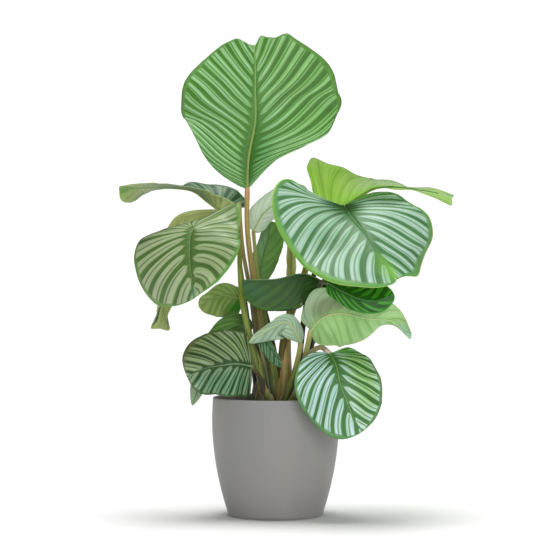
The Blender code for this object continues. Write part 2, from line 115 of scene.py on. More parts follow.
class Top(Enum):
    """The banded upper faces, from the vivid crown leaf to the dark ones in the shade."""

    VIVID = Face(
        (57, 107, 32), (81, 134, 51), (118, 170, 101), (156, 201, 153), (97, 150, 66),
        (93, 127, 73), (130, 142, 75),
        share=0.44, line=0.85, feather=0.03, rim=0.985, midrib_width=0.3, taper=0.14, centre=0.03,
    )
    SILVER = Face(
        (59, 104, 61), (77, 126, 75), (140, 177, 149), (176, 200, 188), (97, 152, 77),
        (165, 200, 104), (117, 160, 92), share=0.44, line=0.6, wander=0.2, centre=0.04, taper=0.24,
    )
    BRIGHT = Face(
        (51, 100, 52), (76, 131, 60), (164, 199, 171), (209, 229, 235), (96, 149, 84),
        (96, 129, 80), (120, 169, 84),
        share=0.4, line=0.75, rim=0.97, centre=0.04, feather=0.045, taper=0.22,
    )
    SAGE = Face(
        (67, 98, 44), (86, 120, 56), (146, 163, 120), (165, 182, 142), (104, 146, 72),
        (124, 159, 80), (111, 137, 88),
        share=0.34, line=0.85, centre=0.03, rim=0.98, feather=0.035, taper=0.17,
    )
    FOREST = Face(
        (36, 64, 32), (58, 92, 46), (128, 148, 110), (162, 184, 146), (78, 111, 58),
        (91, 91, 68), (122, 156, 107),
        share=0.34, line=0.9, centre=0.04, rim=0.975, feather=0.05, taper=0.17,
    )
    TEAL = Face(
        (39, 75, 47), (54, 94, 61), (101, 133, 99), (130, 160, 128), (76, 117, 80),
        (153, 178, 126), (101, 136, 90), line=0.6,
    )
    SHADED = Face(
        (13, 67, 7), (27, 96, 13), (54, 133, 29), (79, 155, 41), (52, 145, 25), (81, 159, 31),
        (66, 136, 25), share=0.6, line=0.2,
    )


RIBBED = Surface(0.45, 0.8, 0.0008, 0.35)
DEEPLY_RIBBED = Surface(0.45, 0.9, 0.0008, 0.35)


class Back(Enum):
    """The plain undersides, with ribs along the side veins."""

    # a lime underside, made brighter by painted light that shines through the leaf from behind
    LIME_AND_BACKLIGHT = Face(
        (149, 203, 63), (160, 212, 74), (164, 214, 80), (175, 223, 96), (170, 214, 96),
        (140, 178, 86), (173, 163, 78), vein=0.7, surface=RIBBED,
    )
    LEAF = Face(
        (142, 185, 111), (149, 192, 122), (156, 195, 128), (166, 203, 143), (162, 197, 130),
        (146, 173, 113), (175, 195, 139), vein=0.9, surface=RIBBED,
    )
    MIST = Face(
        (148, 176, 146), (159, 186, 158), (167, 192, 167), (179, 202, 181), (165, 190, 160),
        (142, 161, 125), (159, 174, 116), vein=0.8, surface=RIBBED,
    )
    OLIVE = Face(
        (138, 156, 84), (150, 168, 96), (160, 177, 104), (174, 188, 120), (168, 186, 114),
        (168, 178, 124), (152, 164, 100), vein=0.8, surface=DEEPLY_RIBBED,
    )
    MOSS = Face(
        (72, 118, 43), (84, 130, 50), (93, 140, 56), (107, 152, 68), (105, 154, 68),
        (112, 152, 77), (124, 159, 74), vein=0.7, surface=RIBBED,
    )
    SLATE = Face(
        (29, 67, 7), (35, 75, 8), (39, 81, 9), (47, 91, 12), (51, 98, 12), (58, 100, 14),
        (47, 87, 10), vein=0.7, surface=DEEPLY_RIBBED,
    )


@dataclass(frozen=True)
class Wash:
    """A soft patch of colour on a leaf's face, placed by row and by share of the half."""

    row: float
    across: float
    row_spread: float
    across_spread: float
    colour: Colour
    cover: float = 0.0
    tint: float = 0.0


@dataclass(frozen=True)
class StalkLook:
    """A stalk's colours from the foot up, with the swollen knee under the blade and the rib."""

    foot: Colour = (28, 33, 12)
    middle: Colour = (62, 74, 27)
    top: Colour = (140, 136, 72)
    knee: Colour = (158, 136, 86)
    rib: Colour = (160, 156, 88)
    rib_tip: Colour = (130, 158, 84)
    surface: Surface = Surface(0.5, 0.35, 0.0006, sheen=0.15)


class Stalks(Enum):
    """The stalks' finishes."""

    OLIVE = StalkLook()
    TAN = StalkLook(
        (40, 32, 16), (88, 80, 36), (136, 124, 64), (142, 128, 74), (118, 140, 72), (100, 138, 68)
    )
    ORANGE = StalkLook(
        (54, 48, 22), (136, 122, 56), (178, 152, 86), (190, 140, 92), (124, 144, 62), (108, 158, 82)
    )
    DARK = StalkLook(
        (25, 20, 13), (38, 38, 20), (50, 58, 28), (68, 78, 40), (86, 120, 66), (80, 118, 66)
    )
    YELLOW = StalkLook(
        (82, 96, 26), (118, 134, 42), (134, 148, 56), (134, 144, 66), (136, 152, 80), (122, 148, 86)
    )
    PALE = StalkLook(
        (64, 76, 26), (118, 130, 48), (158, 160, 80), (176, 162, 100), (184, 194, 132),
        (176, 202, 140),
    )
    BLUSH = StalkLook(
        (50, 42, 20), (100, 92, 42), (150, 140, 96), (204, 188, 168), (120, 154, 74), (116, 160, 84)
    )
    PURPLE = StalkLook(
        (40, 24, 20), (60, 46, 32), (78, 72, 42), (100, 96, 60), (116, 148, 108), (100, 130, 92)
    )


@dataclass(frozen=True)
class GrainLook:
    """A patchy, grainy finish: its main colour, its patches and specks, and how fine they are."""

    main: Colour
    patch: Colour
    speck: Colour
    patch_scale: float
    grain_scale: float
    speck_share: float
    surface: Surface


class Grains(Enum):
    """The finishes of the pot, the potting mix and what lies on it."""

    MATTE_GREY = GrainLook(
        (132, 131, 131), (136, 134, 131), (144, 142, 139), 9.0, 1400.0, 0.16,
        Surface(0.62, 0.25, 0.0003, sheen=0.3),
    )
    DAMP_MIX = GrainLook(
        (46, 34, 26), (62, 46, 34), (92, 72, 54), 60.0, 900.0, 0.32,
        Surface(0.95, 0.9, 0.0015),
    )
    BARK = GrainLook(
        (84, 56, 36), (60, 40, 28), (120, 88, 58), 90.0, 700.0, 0.3,
        Surface(0.9, 0.8, 0.001),
    )
    PERLITE = GrainLook(
        (206, 202, 192), (186, 180, 168), (226, 224, 218), 120.0, 1500.0, 0.3,
        Surface(0.9, 0.6, 0.0006),
    )


Look = Face | StalkLook | GrainLook


class Value:
    """A node's output.  Each step of a formula written with it adds a Math node."""

    def __init__(self, graph: Graph, socket: bpy.types.NodeSocket) -> None:
        """Take one output of a graph."""
        self.graph = graph
        self.socket = socket

    def __add__(self, other: Value | float) -> Value:
        """Add another value or a number."""
        return self.graph.math("ADD", self, other)

    def __sub__(self, other: Value | float) -> Value:
        """Take away another value or a number."""
        return self.graph.math("SUBTRACT", self, other)

    def __rsub__(self, other: float) -> Value:
        """Take this value from a number."""
        return self.graph.math("SUBTRACT", other, self)

    def __mul__(self, other: Value | float) -> Value:
        """Multiply by another value or a number."""
        return self.graph.math("MULTIPLY", self, other)

    def __truediv__(self, other: Value | float) -> Value:
        """Divide by another value or a number."""
        return self.graph.math("DIVIDE", self, other)

    def __pow__(self, other: float) -> Value:
        """Raise to a power."""
        return self.graph.math("POWER", self, other)

    def __abs__(self) -> Value:
        """Drop the sign."""
        return self.graph.math("ABSOLUTE", self)


class Graph:
    """A short way to write a node tree: each method adds one node and gives its output."""

    def __init__(self, tree: Tree) -> None:
        """Work on the tree of a material or a group."""
        self.tree = tree

    def add(self, kind: str, **settings: object) -> bpy.types.Node:
        """Add a node.

        Args:
            kind: the node's type name.
            **settings: properties to set on it.

        Returns:
            The new node.
        """
        node = self.tree.nodes.new(kind)
        for name, value in settings.items():
            setattr(node, name, value)
        return node

    def feed(self, socket: bpy.types.NodeSocket, value: object) -> None:
        """Link an input to an output, or set its own value.

        Args:
            socket: the input to feed.
            value: an output, a number or a colour.
        """
        source = getattr(value, "socket", value)
        if isinstance(source, bpy.types.NodeSocket):
            self.tree.links.new(source, socket)
        else:
            socket.default_value = source

    def made(self, node: bpy.types.Node, *values: object, output: int = 0) -> Value:
        """Feed a node's inputs in order and give its output.

        Args:
            node: the node.
            *values: an output, a number or a colour for each input.
            output: which output it gives.

        Returns:
            That output.
        """
        for socket, value in zip(node.inputs, values):
            self.feed(socket, value)
        return Value(self, node.outputs[output])

    def math(self, operation: str, *values: Value | float) -> Value:
        """Add a Math node for an operation such as MULTIPLY."""
        return self.made(self.add("ShaderNodeMath", operation=operation), *values)

    def step(self, value: Value, start: Value | float, end: Value | float) -> Value:
        """Rise smoothly from 0 to 1 as a value goes from start to end, which may be below it."""
        node = self.add("ShaderNodeMapRange", interpolation_type="SMOOTHSTEP")
        return self.made(node, value, start, end)

    def mix(self, factor: object, first: object, second: object, blend: str = "MIX") -> Value:
        """Mix two colours.

        Args:
            factor: how much of the second colour shows.
            first: the colour under it.
            second: the colour over it.
            blend: the blend type, such as MULTIPLY.

        Returns:
            The mixed colour.
        """
        node = self.add("ShaderNodeMix", data_type="RGBA", blend_type=blend)
        self.feed(node.inputs[6], first)
        self.feed(node.inputs[7], second)
        return self.made(node, factor, output=2)

    def noise(self, vector: Value, scale: Value | float, detail: float = 2.0) -> Value:
        """Read a cloudy value from 0 to 1.

        Args:
            vector: where it is read.
            scale: how fine it is.
            detail: how many finer layers it has.

        Returns:
            The value.
        """
        node = self.add("ShaderNodeTexNoise")
        for name, value in (("Vector", vector), ("Scale", scale), ("Detail", detail)):
            self.feed(node.inputs[name], value)
        return Value(self, node.outputs[0])

    def vector(self, x: Value, y: Value, z: Value | float) -> Value:
        """Join three values to a vector."""
        return self.made(self.add("ShaderNodeCombineXYZ"), x, y, z)

    def uv(self, name: str) -> tuple[Value, Value]:
        """Read the two values of a mesh's named map.

        Args:
            name: the map's name.

        Returns:
            Its first and second value.
        """
        split = self.add("ShaderNodeSeparateXYZ")
        self.feed(split.inputs[0], self.add("ShaderNodeUVMap", uv_map=name).outputs[0])
        return Value(self, split.outputs[0]), Value(self, split.outputs[1])

    def place(self) -> Value:
        """Read the point's own place on the object."""
        return Value(self, self.add("ShaderNodeTexCoord").outputs["Object"])

    def group(self, tree: Tree, values: dict[str, object]) -> bpy.types.Node:
        """Add a node group.

        Args:
            tree: the group.
            values: outputs, numbers or colours for its inputs, by name.

        Returns:
            The group's node.
        """
        node = self.add("ShaderNodeGroup", node_tree=tree)
        for name, value in values.items():
            self.feed(node.inputs[name], value)
        return node

    def put_out(self, **values: Value) -> Tree:
        """Finish a group with its outputs.

        Args:
            **values: what it puts out by name, where Color is a colour and the rest are numbers.

        Returns:
            The group.
        """
        for name in values:
            self.tree.interface.new_socket(name, in_out="OUTPUT", socket_type=socket_type(name))
        node = self.add("NodeGroupOutput")
        for name, value in values.items():
            self.feed(node.inputs[name], value)
        return self.tree


def socket_type(kind: str) -> str:
    """Name the socket for a colour or a number."""
    return "NodeSocketColor" if kind in ("Color", "Colour") else "NodeSocketFloat"


def own_parts(kind: type) -> dict[str, str]:
    """Name the parts of a look that its pattern reads, and the type of each."""
    return {part.name: part.type for part in fields(kind) if part.name != "surface"}


def values_of(look: Look | Wash) -> dict[str, object]:
    """Give the values that a look's pattern reads, with its colours made linear."""
    values = {name: getattr(look, name) for name in own_parts(type(look))}
    return {name: linear(v) if isinstance(v, tuple) else v for name, v in values.items()}


def new_group(name: str, kind: type, **more: str) -> tuple[Graph, SimpleNamespace]:
    """Start a shader node group with an input for each part of a look.

    Args:
        name: the group's name.
        kind: the look's class.
        **more: further inputs, and whether each is a float or a Colour.

    Returns:
        Its graph and its inputs.
    """
    tree = bpy.data.node_groups.new(name, "ShaderNodeTree")
    inputs = own_parts(kind) | more
    for part, part_kind in inputs.items():
        tree.interface.new_socket(part, in_out="INPUT", socket_type=socket_type(part_kind))
    graph = Graph(tree)
    entry = graph.add("NodeGroupInput")
    return graph, SimpleNamespace(**{part: Value(graph, entry.outputs[part]) for part in inputs})


def leaf_pattern() -> Tree:
    """Build the group that draws the bands, veins, midrib and margin of a leaf's face.

    It reads two maps.  Veins holds the row from base to tip and the share of the way from the
    midrib to the margin, negative on the left.  Span holds the share of the blade's length and
    the distance from the midrib in centimetres.

    Returns:
        The group, which puts out a colour, a mask of the veins and a height.
    """
    more = {"left_bands": "float", "right_bands": "float", "seed": "float"}
    g, look = new_group("Leaf Pattern", Face, **more)
    row, across = g.uv("Veins")
    share, offset = g.uv("Span")
    away = abs(across)
    side = g.math("GREATER_THAN", across, 0.0)
    seed = side * 3.7 + look.seed
    bands = side * (look.right_bands - look.left_bands) + look.left_bands

    wander = g.noise(g.vector(row * 5.0, across * 1.2, seed), 1.0)
    phase = (wander - 0.5) * look.wander + (row * bands + side * 0.5)
    odd = g.add("ShaderNodeTexWhiteNoise", noise_dimensions="2D")
    luck = g.made(odd, g.vector(g.math("FLOOR", phase), seed, 0.0))
    signed = g.math("FRACT", phase) * 2.0 - 1.0
    from_middle = abs(signed)
    silk = g.noise(g.vector(phase * 15.0, across * 1.6, seed), 1.0, 3.0)

    dark = look.share * (g.step(away, 0.4, 0.0) * 0.25 + 0.9) * (luck * 0.4 + 0.8)
    start = luck * look.centre + 0.02
    pointed = g.step(away, start, start + look.taper) ** 0.75
    border = (silk - 0.5) * 0.08 + (1.0 - dark) * pointed
    feather = g.step(away, 0.5, 0.0) * 0.06 + look.feather
    rim = g.step(luck * 0.03 + away, look.rim * 2.0 - 1.01, look.rim + 0.01)
    pale = g.step(from_middle, border + feather, border - feather)
    pale = pale * g.step(away, start, start + 0.1) * (1.0 - rim) * g.step(row, 0.0, 0.03)

    from_line = abs(signed - (g.math("FRACT", luck * 7.13) * 0.6 - 0.3))
    inner = g.step(from_line, 0.13, 0.03) * g.step(away, 0.1, 0.35) * pale * look.line
    # the silvery core and a painted sheen: the lightest colour, in streaks along a line inside each
    # pale stripe
    core = g.step(from_line, 0.1, 0.3) * g.step(from_middle, border, 0.2)
    core = core * (g.step(silk, 0.42, 0.56) * 0.75 + 0.25) * g.step(away, 0.05, 0.35)
    fine = 1.0 - abs(g.math("SINE", phase * (math.pi * 5))) ** 0.5
    veins = g.math("MAXIMUM", fine * 0.35, g.step(from_middle, 0.86, 1.0)) * look.vein

    shade = g.mix(g.step(silk, 0.3, 0.7), look.band, look.band_light)
    shade = g.mix(pale, shade, g.mix(core, look.stripe, look.core))
    shade = g.mix(inner, shade, look.band)
    shade = g.mix(rim * 0.7, shade, look.margin)
    shade = g.mix(g.step(away, 0.982, 0.996), shade, look.edge)
    tapered = share * -0.85 * look.midrib_width + look.midrib_width
    shade = g.mix(g.step(abs(offset), tapered, tapered * 0.5), shade, look.midrib)
    grey = g.noise(g.place(), 30.0, 3.0) * 0.24 + 0.88
    shade = g.mix(1.0, shade, g.vector(grey, grey, grey), "MULTIPLY")

    quilted = 1.0 - from_middle * from_middle
    height = silk * 0.25 + (fine * -0.18 + quilted * 0.4)
    height = g.noise(g.place(), 900.0) * 0.1 + height
    return g.put_out(Color=shade, Veins=veins, Height=height)


def wash_pattern() -> Tree:
    """Build the group that lays one soft patch of colour on a leaf's face.

    Returns:
        The group, which puts out the changed colour.
    """
    g, wash = new_group("Soft Wash", Wash, under="Colour")
    row, across = g.uv("Veins")
    along = (row - wash.row) / wash.row_spread
    aside = (across - wash.across) / wash.across_spread
    far = g.math("SQRT", along * along + aside * aside)
    uneven = g.noise(g.place(), 40.0, 3.0) - 0.5
    mask = g.step(uneven * 0.35 + far, 1.0, 0.25)
    tinted = g.mix(mask * wash.tint, wash.under, wash.colour, "MULTIPLY")
    return g.put_out(Color=g.mix(mask * wash.cover, tinted, wash.colour))


def grain_pattern() -> Tree:
    """Build the group for a surface that varies in patches, specks and a fine grain.

    Returns:
        The group, which puts out a colour and a height.
    """
    g, look = new_group("Grain", GrainLook)
    patches = g.noise(g.place(), look.patch_scale, 4.0)
    grain = g.noise(g.place(), look.grain_scale, 3.0)
    low = 0.78 - look.speck_share
    shade = g.mix(g.step(patches, 0.35, 0.65), look.main, look.patch)
    shade = g.mix(g.step(grain, low, low + 0.08), shade, look.speck)
    return g.put_out(Color=shade, Height=grain)


def stalk_pattern() -> Tree:
    """Build the group that colours a stalk from its foot to its blade and on along the midrib.

    It reads the map Length, which holds how far up the stalk a point is, from 0 at the foot
    to 1 at the blade and on to 2 at the leaf's tip, and how far round it is.

    Returns:
        The group, which puts out a colour and a height.
    """
    g, look = new_group("Stalk Pattern", StalkLook, seed="float")
    up, round_it = g.uv("Length")
    around = round_it * math.tau
    north = g.math("SINE", around) * 1.6 + look.seed
    streak = g.noise(g.vector(g.math("COSINE", around) * 1.6, north, up * 7.0), 1.6, 3.0)
    shade = look.foot
    for start, end, colour in (
        (0.03, 0.5, look.middle),
        (0.5, 0.93, look.top),
        (0.93, 0.965, look.knee),
        (0.998, 1.01, look.rib),
        (1.15, 1.8, look.rib_tip),
    ):
        shade = g.mix(g.step(up, start, end), shade, colour)
    dark = g.mix(1.0, shade, (0.55, 0.5, 0.42, 1.0), "MULTIPLY")
    spread = g.step(streak, 0.48, 0.72) * g.step(up, 1.1, 0.9)
    return g.put_out(Color=g.mix(spread * 0.7, shade, dark), Height=streak)


class Finish:
    """Makes the object's materials, sharing one pattern group for each kind of surface."""

    VEIN_SHADE = (196, 204, 176)

    def __init__(self) -> None:
        """Build the shared groups and the finishes that several pieces wear."""
        self.groups = {Face: leaf_pattern(), GrainLook: grain_pattern(), StalkLook: stalk_pattern()}
        self.wash_group = wash_pattern()
        self.grains = {kind: self.make(kind.name.lower(), kind.value) for kind in Grains}
        self.stalks = {
            kind: self.make(f"{kind.name.lower()}_stalk", kind.value, seed=float(number))
            for number, kind in enumerate(Stalks)
        }

    def make(
        self, name: str, look: Look, washes: tuple[Wash, ...] = (), **more: float
    ) -> Material:
        """Make a material.

        Args:
            name: its name.
            look: its look, whose class says which pattern it has.
            washes: the soft patches of colour over the pattern.
            **more: the pattern's further inputs, such as its seed.

        Returns:
            The material.
        """
        material = bpy.data.materials.new(name)
        material.use_nodes = True
        graph = Graph(material.node_tree)
        shader = material.node_tree.nodes["Principled BSDF"]
        pattern = graph.group(self.groups[type(look)], values_of(look) | more)
        shade = pattern.outputs["Color"]
        for wash in washes:
            laid = graph.group(self.wash_group, values_of(wash) | {"under": shade})
            shade = laid.outputs["Color"]
        if "Veins" in pattern.outputs:
            veins = pattern.outputs["Veins"]
            shade = graph.mix(veins, shade, linear(self.VEIN_SHADE), "MULTIPLY")
        surface = look.surface
        relief = graph.add("ShaderNodeBump")
        for socket, value in (
            (relief.inputs["Strength"], surface.relief),
            (relief.inputs["Distance"], surface.depth),
            (relief.inputs["Height"], pattern.outputs["Height"]),
            (shader.inputs["Normal"], relief.outputs[0]),
            (shader.inputs["Base Color"], shade),
            (shader.inputs["Roughness"], surface.roughness),
            (shader.inputs["Specular IOR Level"], surface.specular),
            (shader.inputs["Sheen Weight"], surface.sheen),
        ):
            graph.feed(socket, value)
        return material


def columns_at(x: Array, known: Array, table: Array) -> Array:
    """Read each column of a table, whose rows stand at known places, at x."""
    return np.stack([np.interp(x, known, column) for column in table.T], axis=-1)


def unit(vectors: Array) -> Array:
    """Give vectors a length of one."""
    return vectors / np.linalg.norm(vectors, axis=-1, keepdims=True)


def walked(points: Array) -> Array:
    """Measure how far along their line points lie."""
    return np.concatenate([[0.0], np.cumsum(np.linalg.norm(np.diff(points, axis=0), axis=1))])


class Curve:
    """A smooth curve through a few points, measured along its own length."""

    STEPS = 60

    def __init__(self, points: list[Point] | tuple[Point, ...]) -> None:
        """Draw the curve through its points and measure it.

        Args:
            points: the points that it passes.
        """
        known = np.asarray(points, float)
        known = np.vstack([2 * known[0] - known[1], known, 2 * known[-1] - known[-2]])
        u = np.linspace(0, 1, self.STEPS, endpoint=False)[:, None]
        spans = []
        for a, b, c, d in zip(known, known[1:], known[2:], known[3:]):
            cubic = (3 * b - a - 3 * c + d) * u**3 + (2 * a - 5 * b + 4 * c - d) * u**2
            spans.append(0.5 * (cubic + (c - a) * u + 2 * b))
        self.points = np.vstack([*spans, known[-2:-1]])
        self.distances = walked(self.points)
        self.length = float(self.distances[-1])
        self.tangents = unit(np.gradient(self.points, self.distances, axis=0))

    def at(self, distance: Array) -> tuple[Array, Array]:
        """Find places along it, straight on past its ends.

        Args:
            distance: distances from its start.

        Returns:
            Positions and directions.
        """
        position = columns_at(distance, self.distances, self.points)
        direction = unit(columns_at(distance, self.distances, self.tangents))
        beyond = distance - np.clip(distance, 0, self.length)
        return position + direction * beyond[..., None], direction


@dataclass(frozen=True)
class Patch:
    """Rows of points, with named maps that hold two values for each point."""

    points: Array
    maps: dict[str, Array]


def put(name: str, data: bpy.types.ID) -> Object:
    """Make an object and link it to the scene.

    Args:
        name: its name.
        data: its mesh, light or camera.

    Returns:
        The new object.
    """
    obj = bpy.data.objects.new(name, data)
    bpy.context.scene.collection.objects.link(obj)
    return obj


def sheet(
    name: str, patches: list[Patch], finishes: list[Material], thick: float = 0, offset: float = 0
) -> Object:
    """Make a mesh from rows of points, joined where points meet.

    Args:
        name: the object's name.
        patches: the rows of points, in millimetres, and their maps.
        finishes: its finish, and that of its underside if it has another.
        thick: its thickness, or 0 for none.
        offset: where the thickness lies, from 0 on both sides to 1 outside.

    Returns:
        The new object.
    """
    places = np.concatenate([patch.points.reshape(-1, 3) for patch in patches])
    _, first, merged = np.unique(np.round(places, 3), axis=0, return_index=True, return_inverse=True)
    merged = merged.reshape(-1)
    faces, corners, begun = [], [], 0
    for patch in patches:
        rows, columns = patch.points.shape[:2]
        index = begun + np.arange(rows * columns).reshape(rows, columns)
        begun += rows * columns
        quads = [index[:-1, :-1], index[:-1, 1:], index[1:, 1:], index[1:, :-1]]
        for quad in np.stack(quads, axis=-1).reshape(-1, 4).tolist():
            kept: dict[int, int] = {}
            for corner in quad:
                kept.setdefault(int(merged[corner]), corner)
            if len(kept) > 2:
                faces.append(list(kept))
                corners.extend(kept.values())
    mesh = bpy.data.meshes.new(name)
    mesh.from_pydata((places[first] * MM).tolist(), [], faces)
    for map_name in patches[0].maps:
        values = np.concatenate([patch.maps[map_name].reshape(-1, 2) for patch in patches])
        mesh.uv_layers.new(name=map_name).data.foreach_set("uv", values[corners].ravel())
    mesh.shade_smooth()
    for finish in finishes:
        mesh.materials.append(finish)
    obj = put(name, mesh)
    if thick:
        solid = obj.modifiers.new("Solidify", "SOLIDIFY")
        solid.thickness = thick * MM
        solid.offset = offset
        solid.material_offset = len(finishes) - 1
    return obj


def wear(obj: Object, slot: str, *nodes: str) -> None:
    """Fix a piece to the plant, hide the solids that it stands for and log its face count.

    Args:
        obj: the piece.
        slot: not used.
        *nodes: the solids that it stands for.
    """
    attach(obj, BODY)
    if nodes:
        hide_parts(*nodes)
    LOG.info("%s: %d faces", obj.name, len(obj.data.polygons))


@dataclass(frozen=True)
class Half:
    """One half of a blade: its outline and bend, and how its bands run from the midrib."""

    width: float
    base_power: float
    tip_power: float
    lobe: float
    bands: int = 12
    lift: tuple[float, ...] = (15, 15, 10)
    curl: tuple[float, ...] = (-20, -30, -20)
    ripple: float = 0.03
    ripple_phase: float = 0.0
    crowding: float = 2.6
    sweep: tuple[float, float] = (0.35, 0.5)
    pushes: tuple[tuple[float, float, float, float], ...] = ()


@dataclass(frozen=True)
class Leaf:
    """A leaf by its midrib, the way its upper face looks, its halves, its stalk and its finish."""

    name: str
    slot: str
    top: Top
    back: Back
    stalk: Stalks
    foot: tuple[float, float]
    via: tuple[Point, ...]
    spine: tuple[Point, ...]
    face: tuple[Point, ...]
    left: Half
    right: Half
    wave: tuple[float, float, float] = (2.5, 3, 0)
    notch: float = 0.0
    origin: float = 0.0
    ease: int = 0
    thick: float = 1.0
    rib: float = 2.2
    small: bool = False
    top_washes: tuple[Wash, ...] = ()
    back_washes: tuple[Wash, ...] = ()


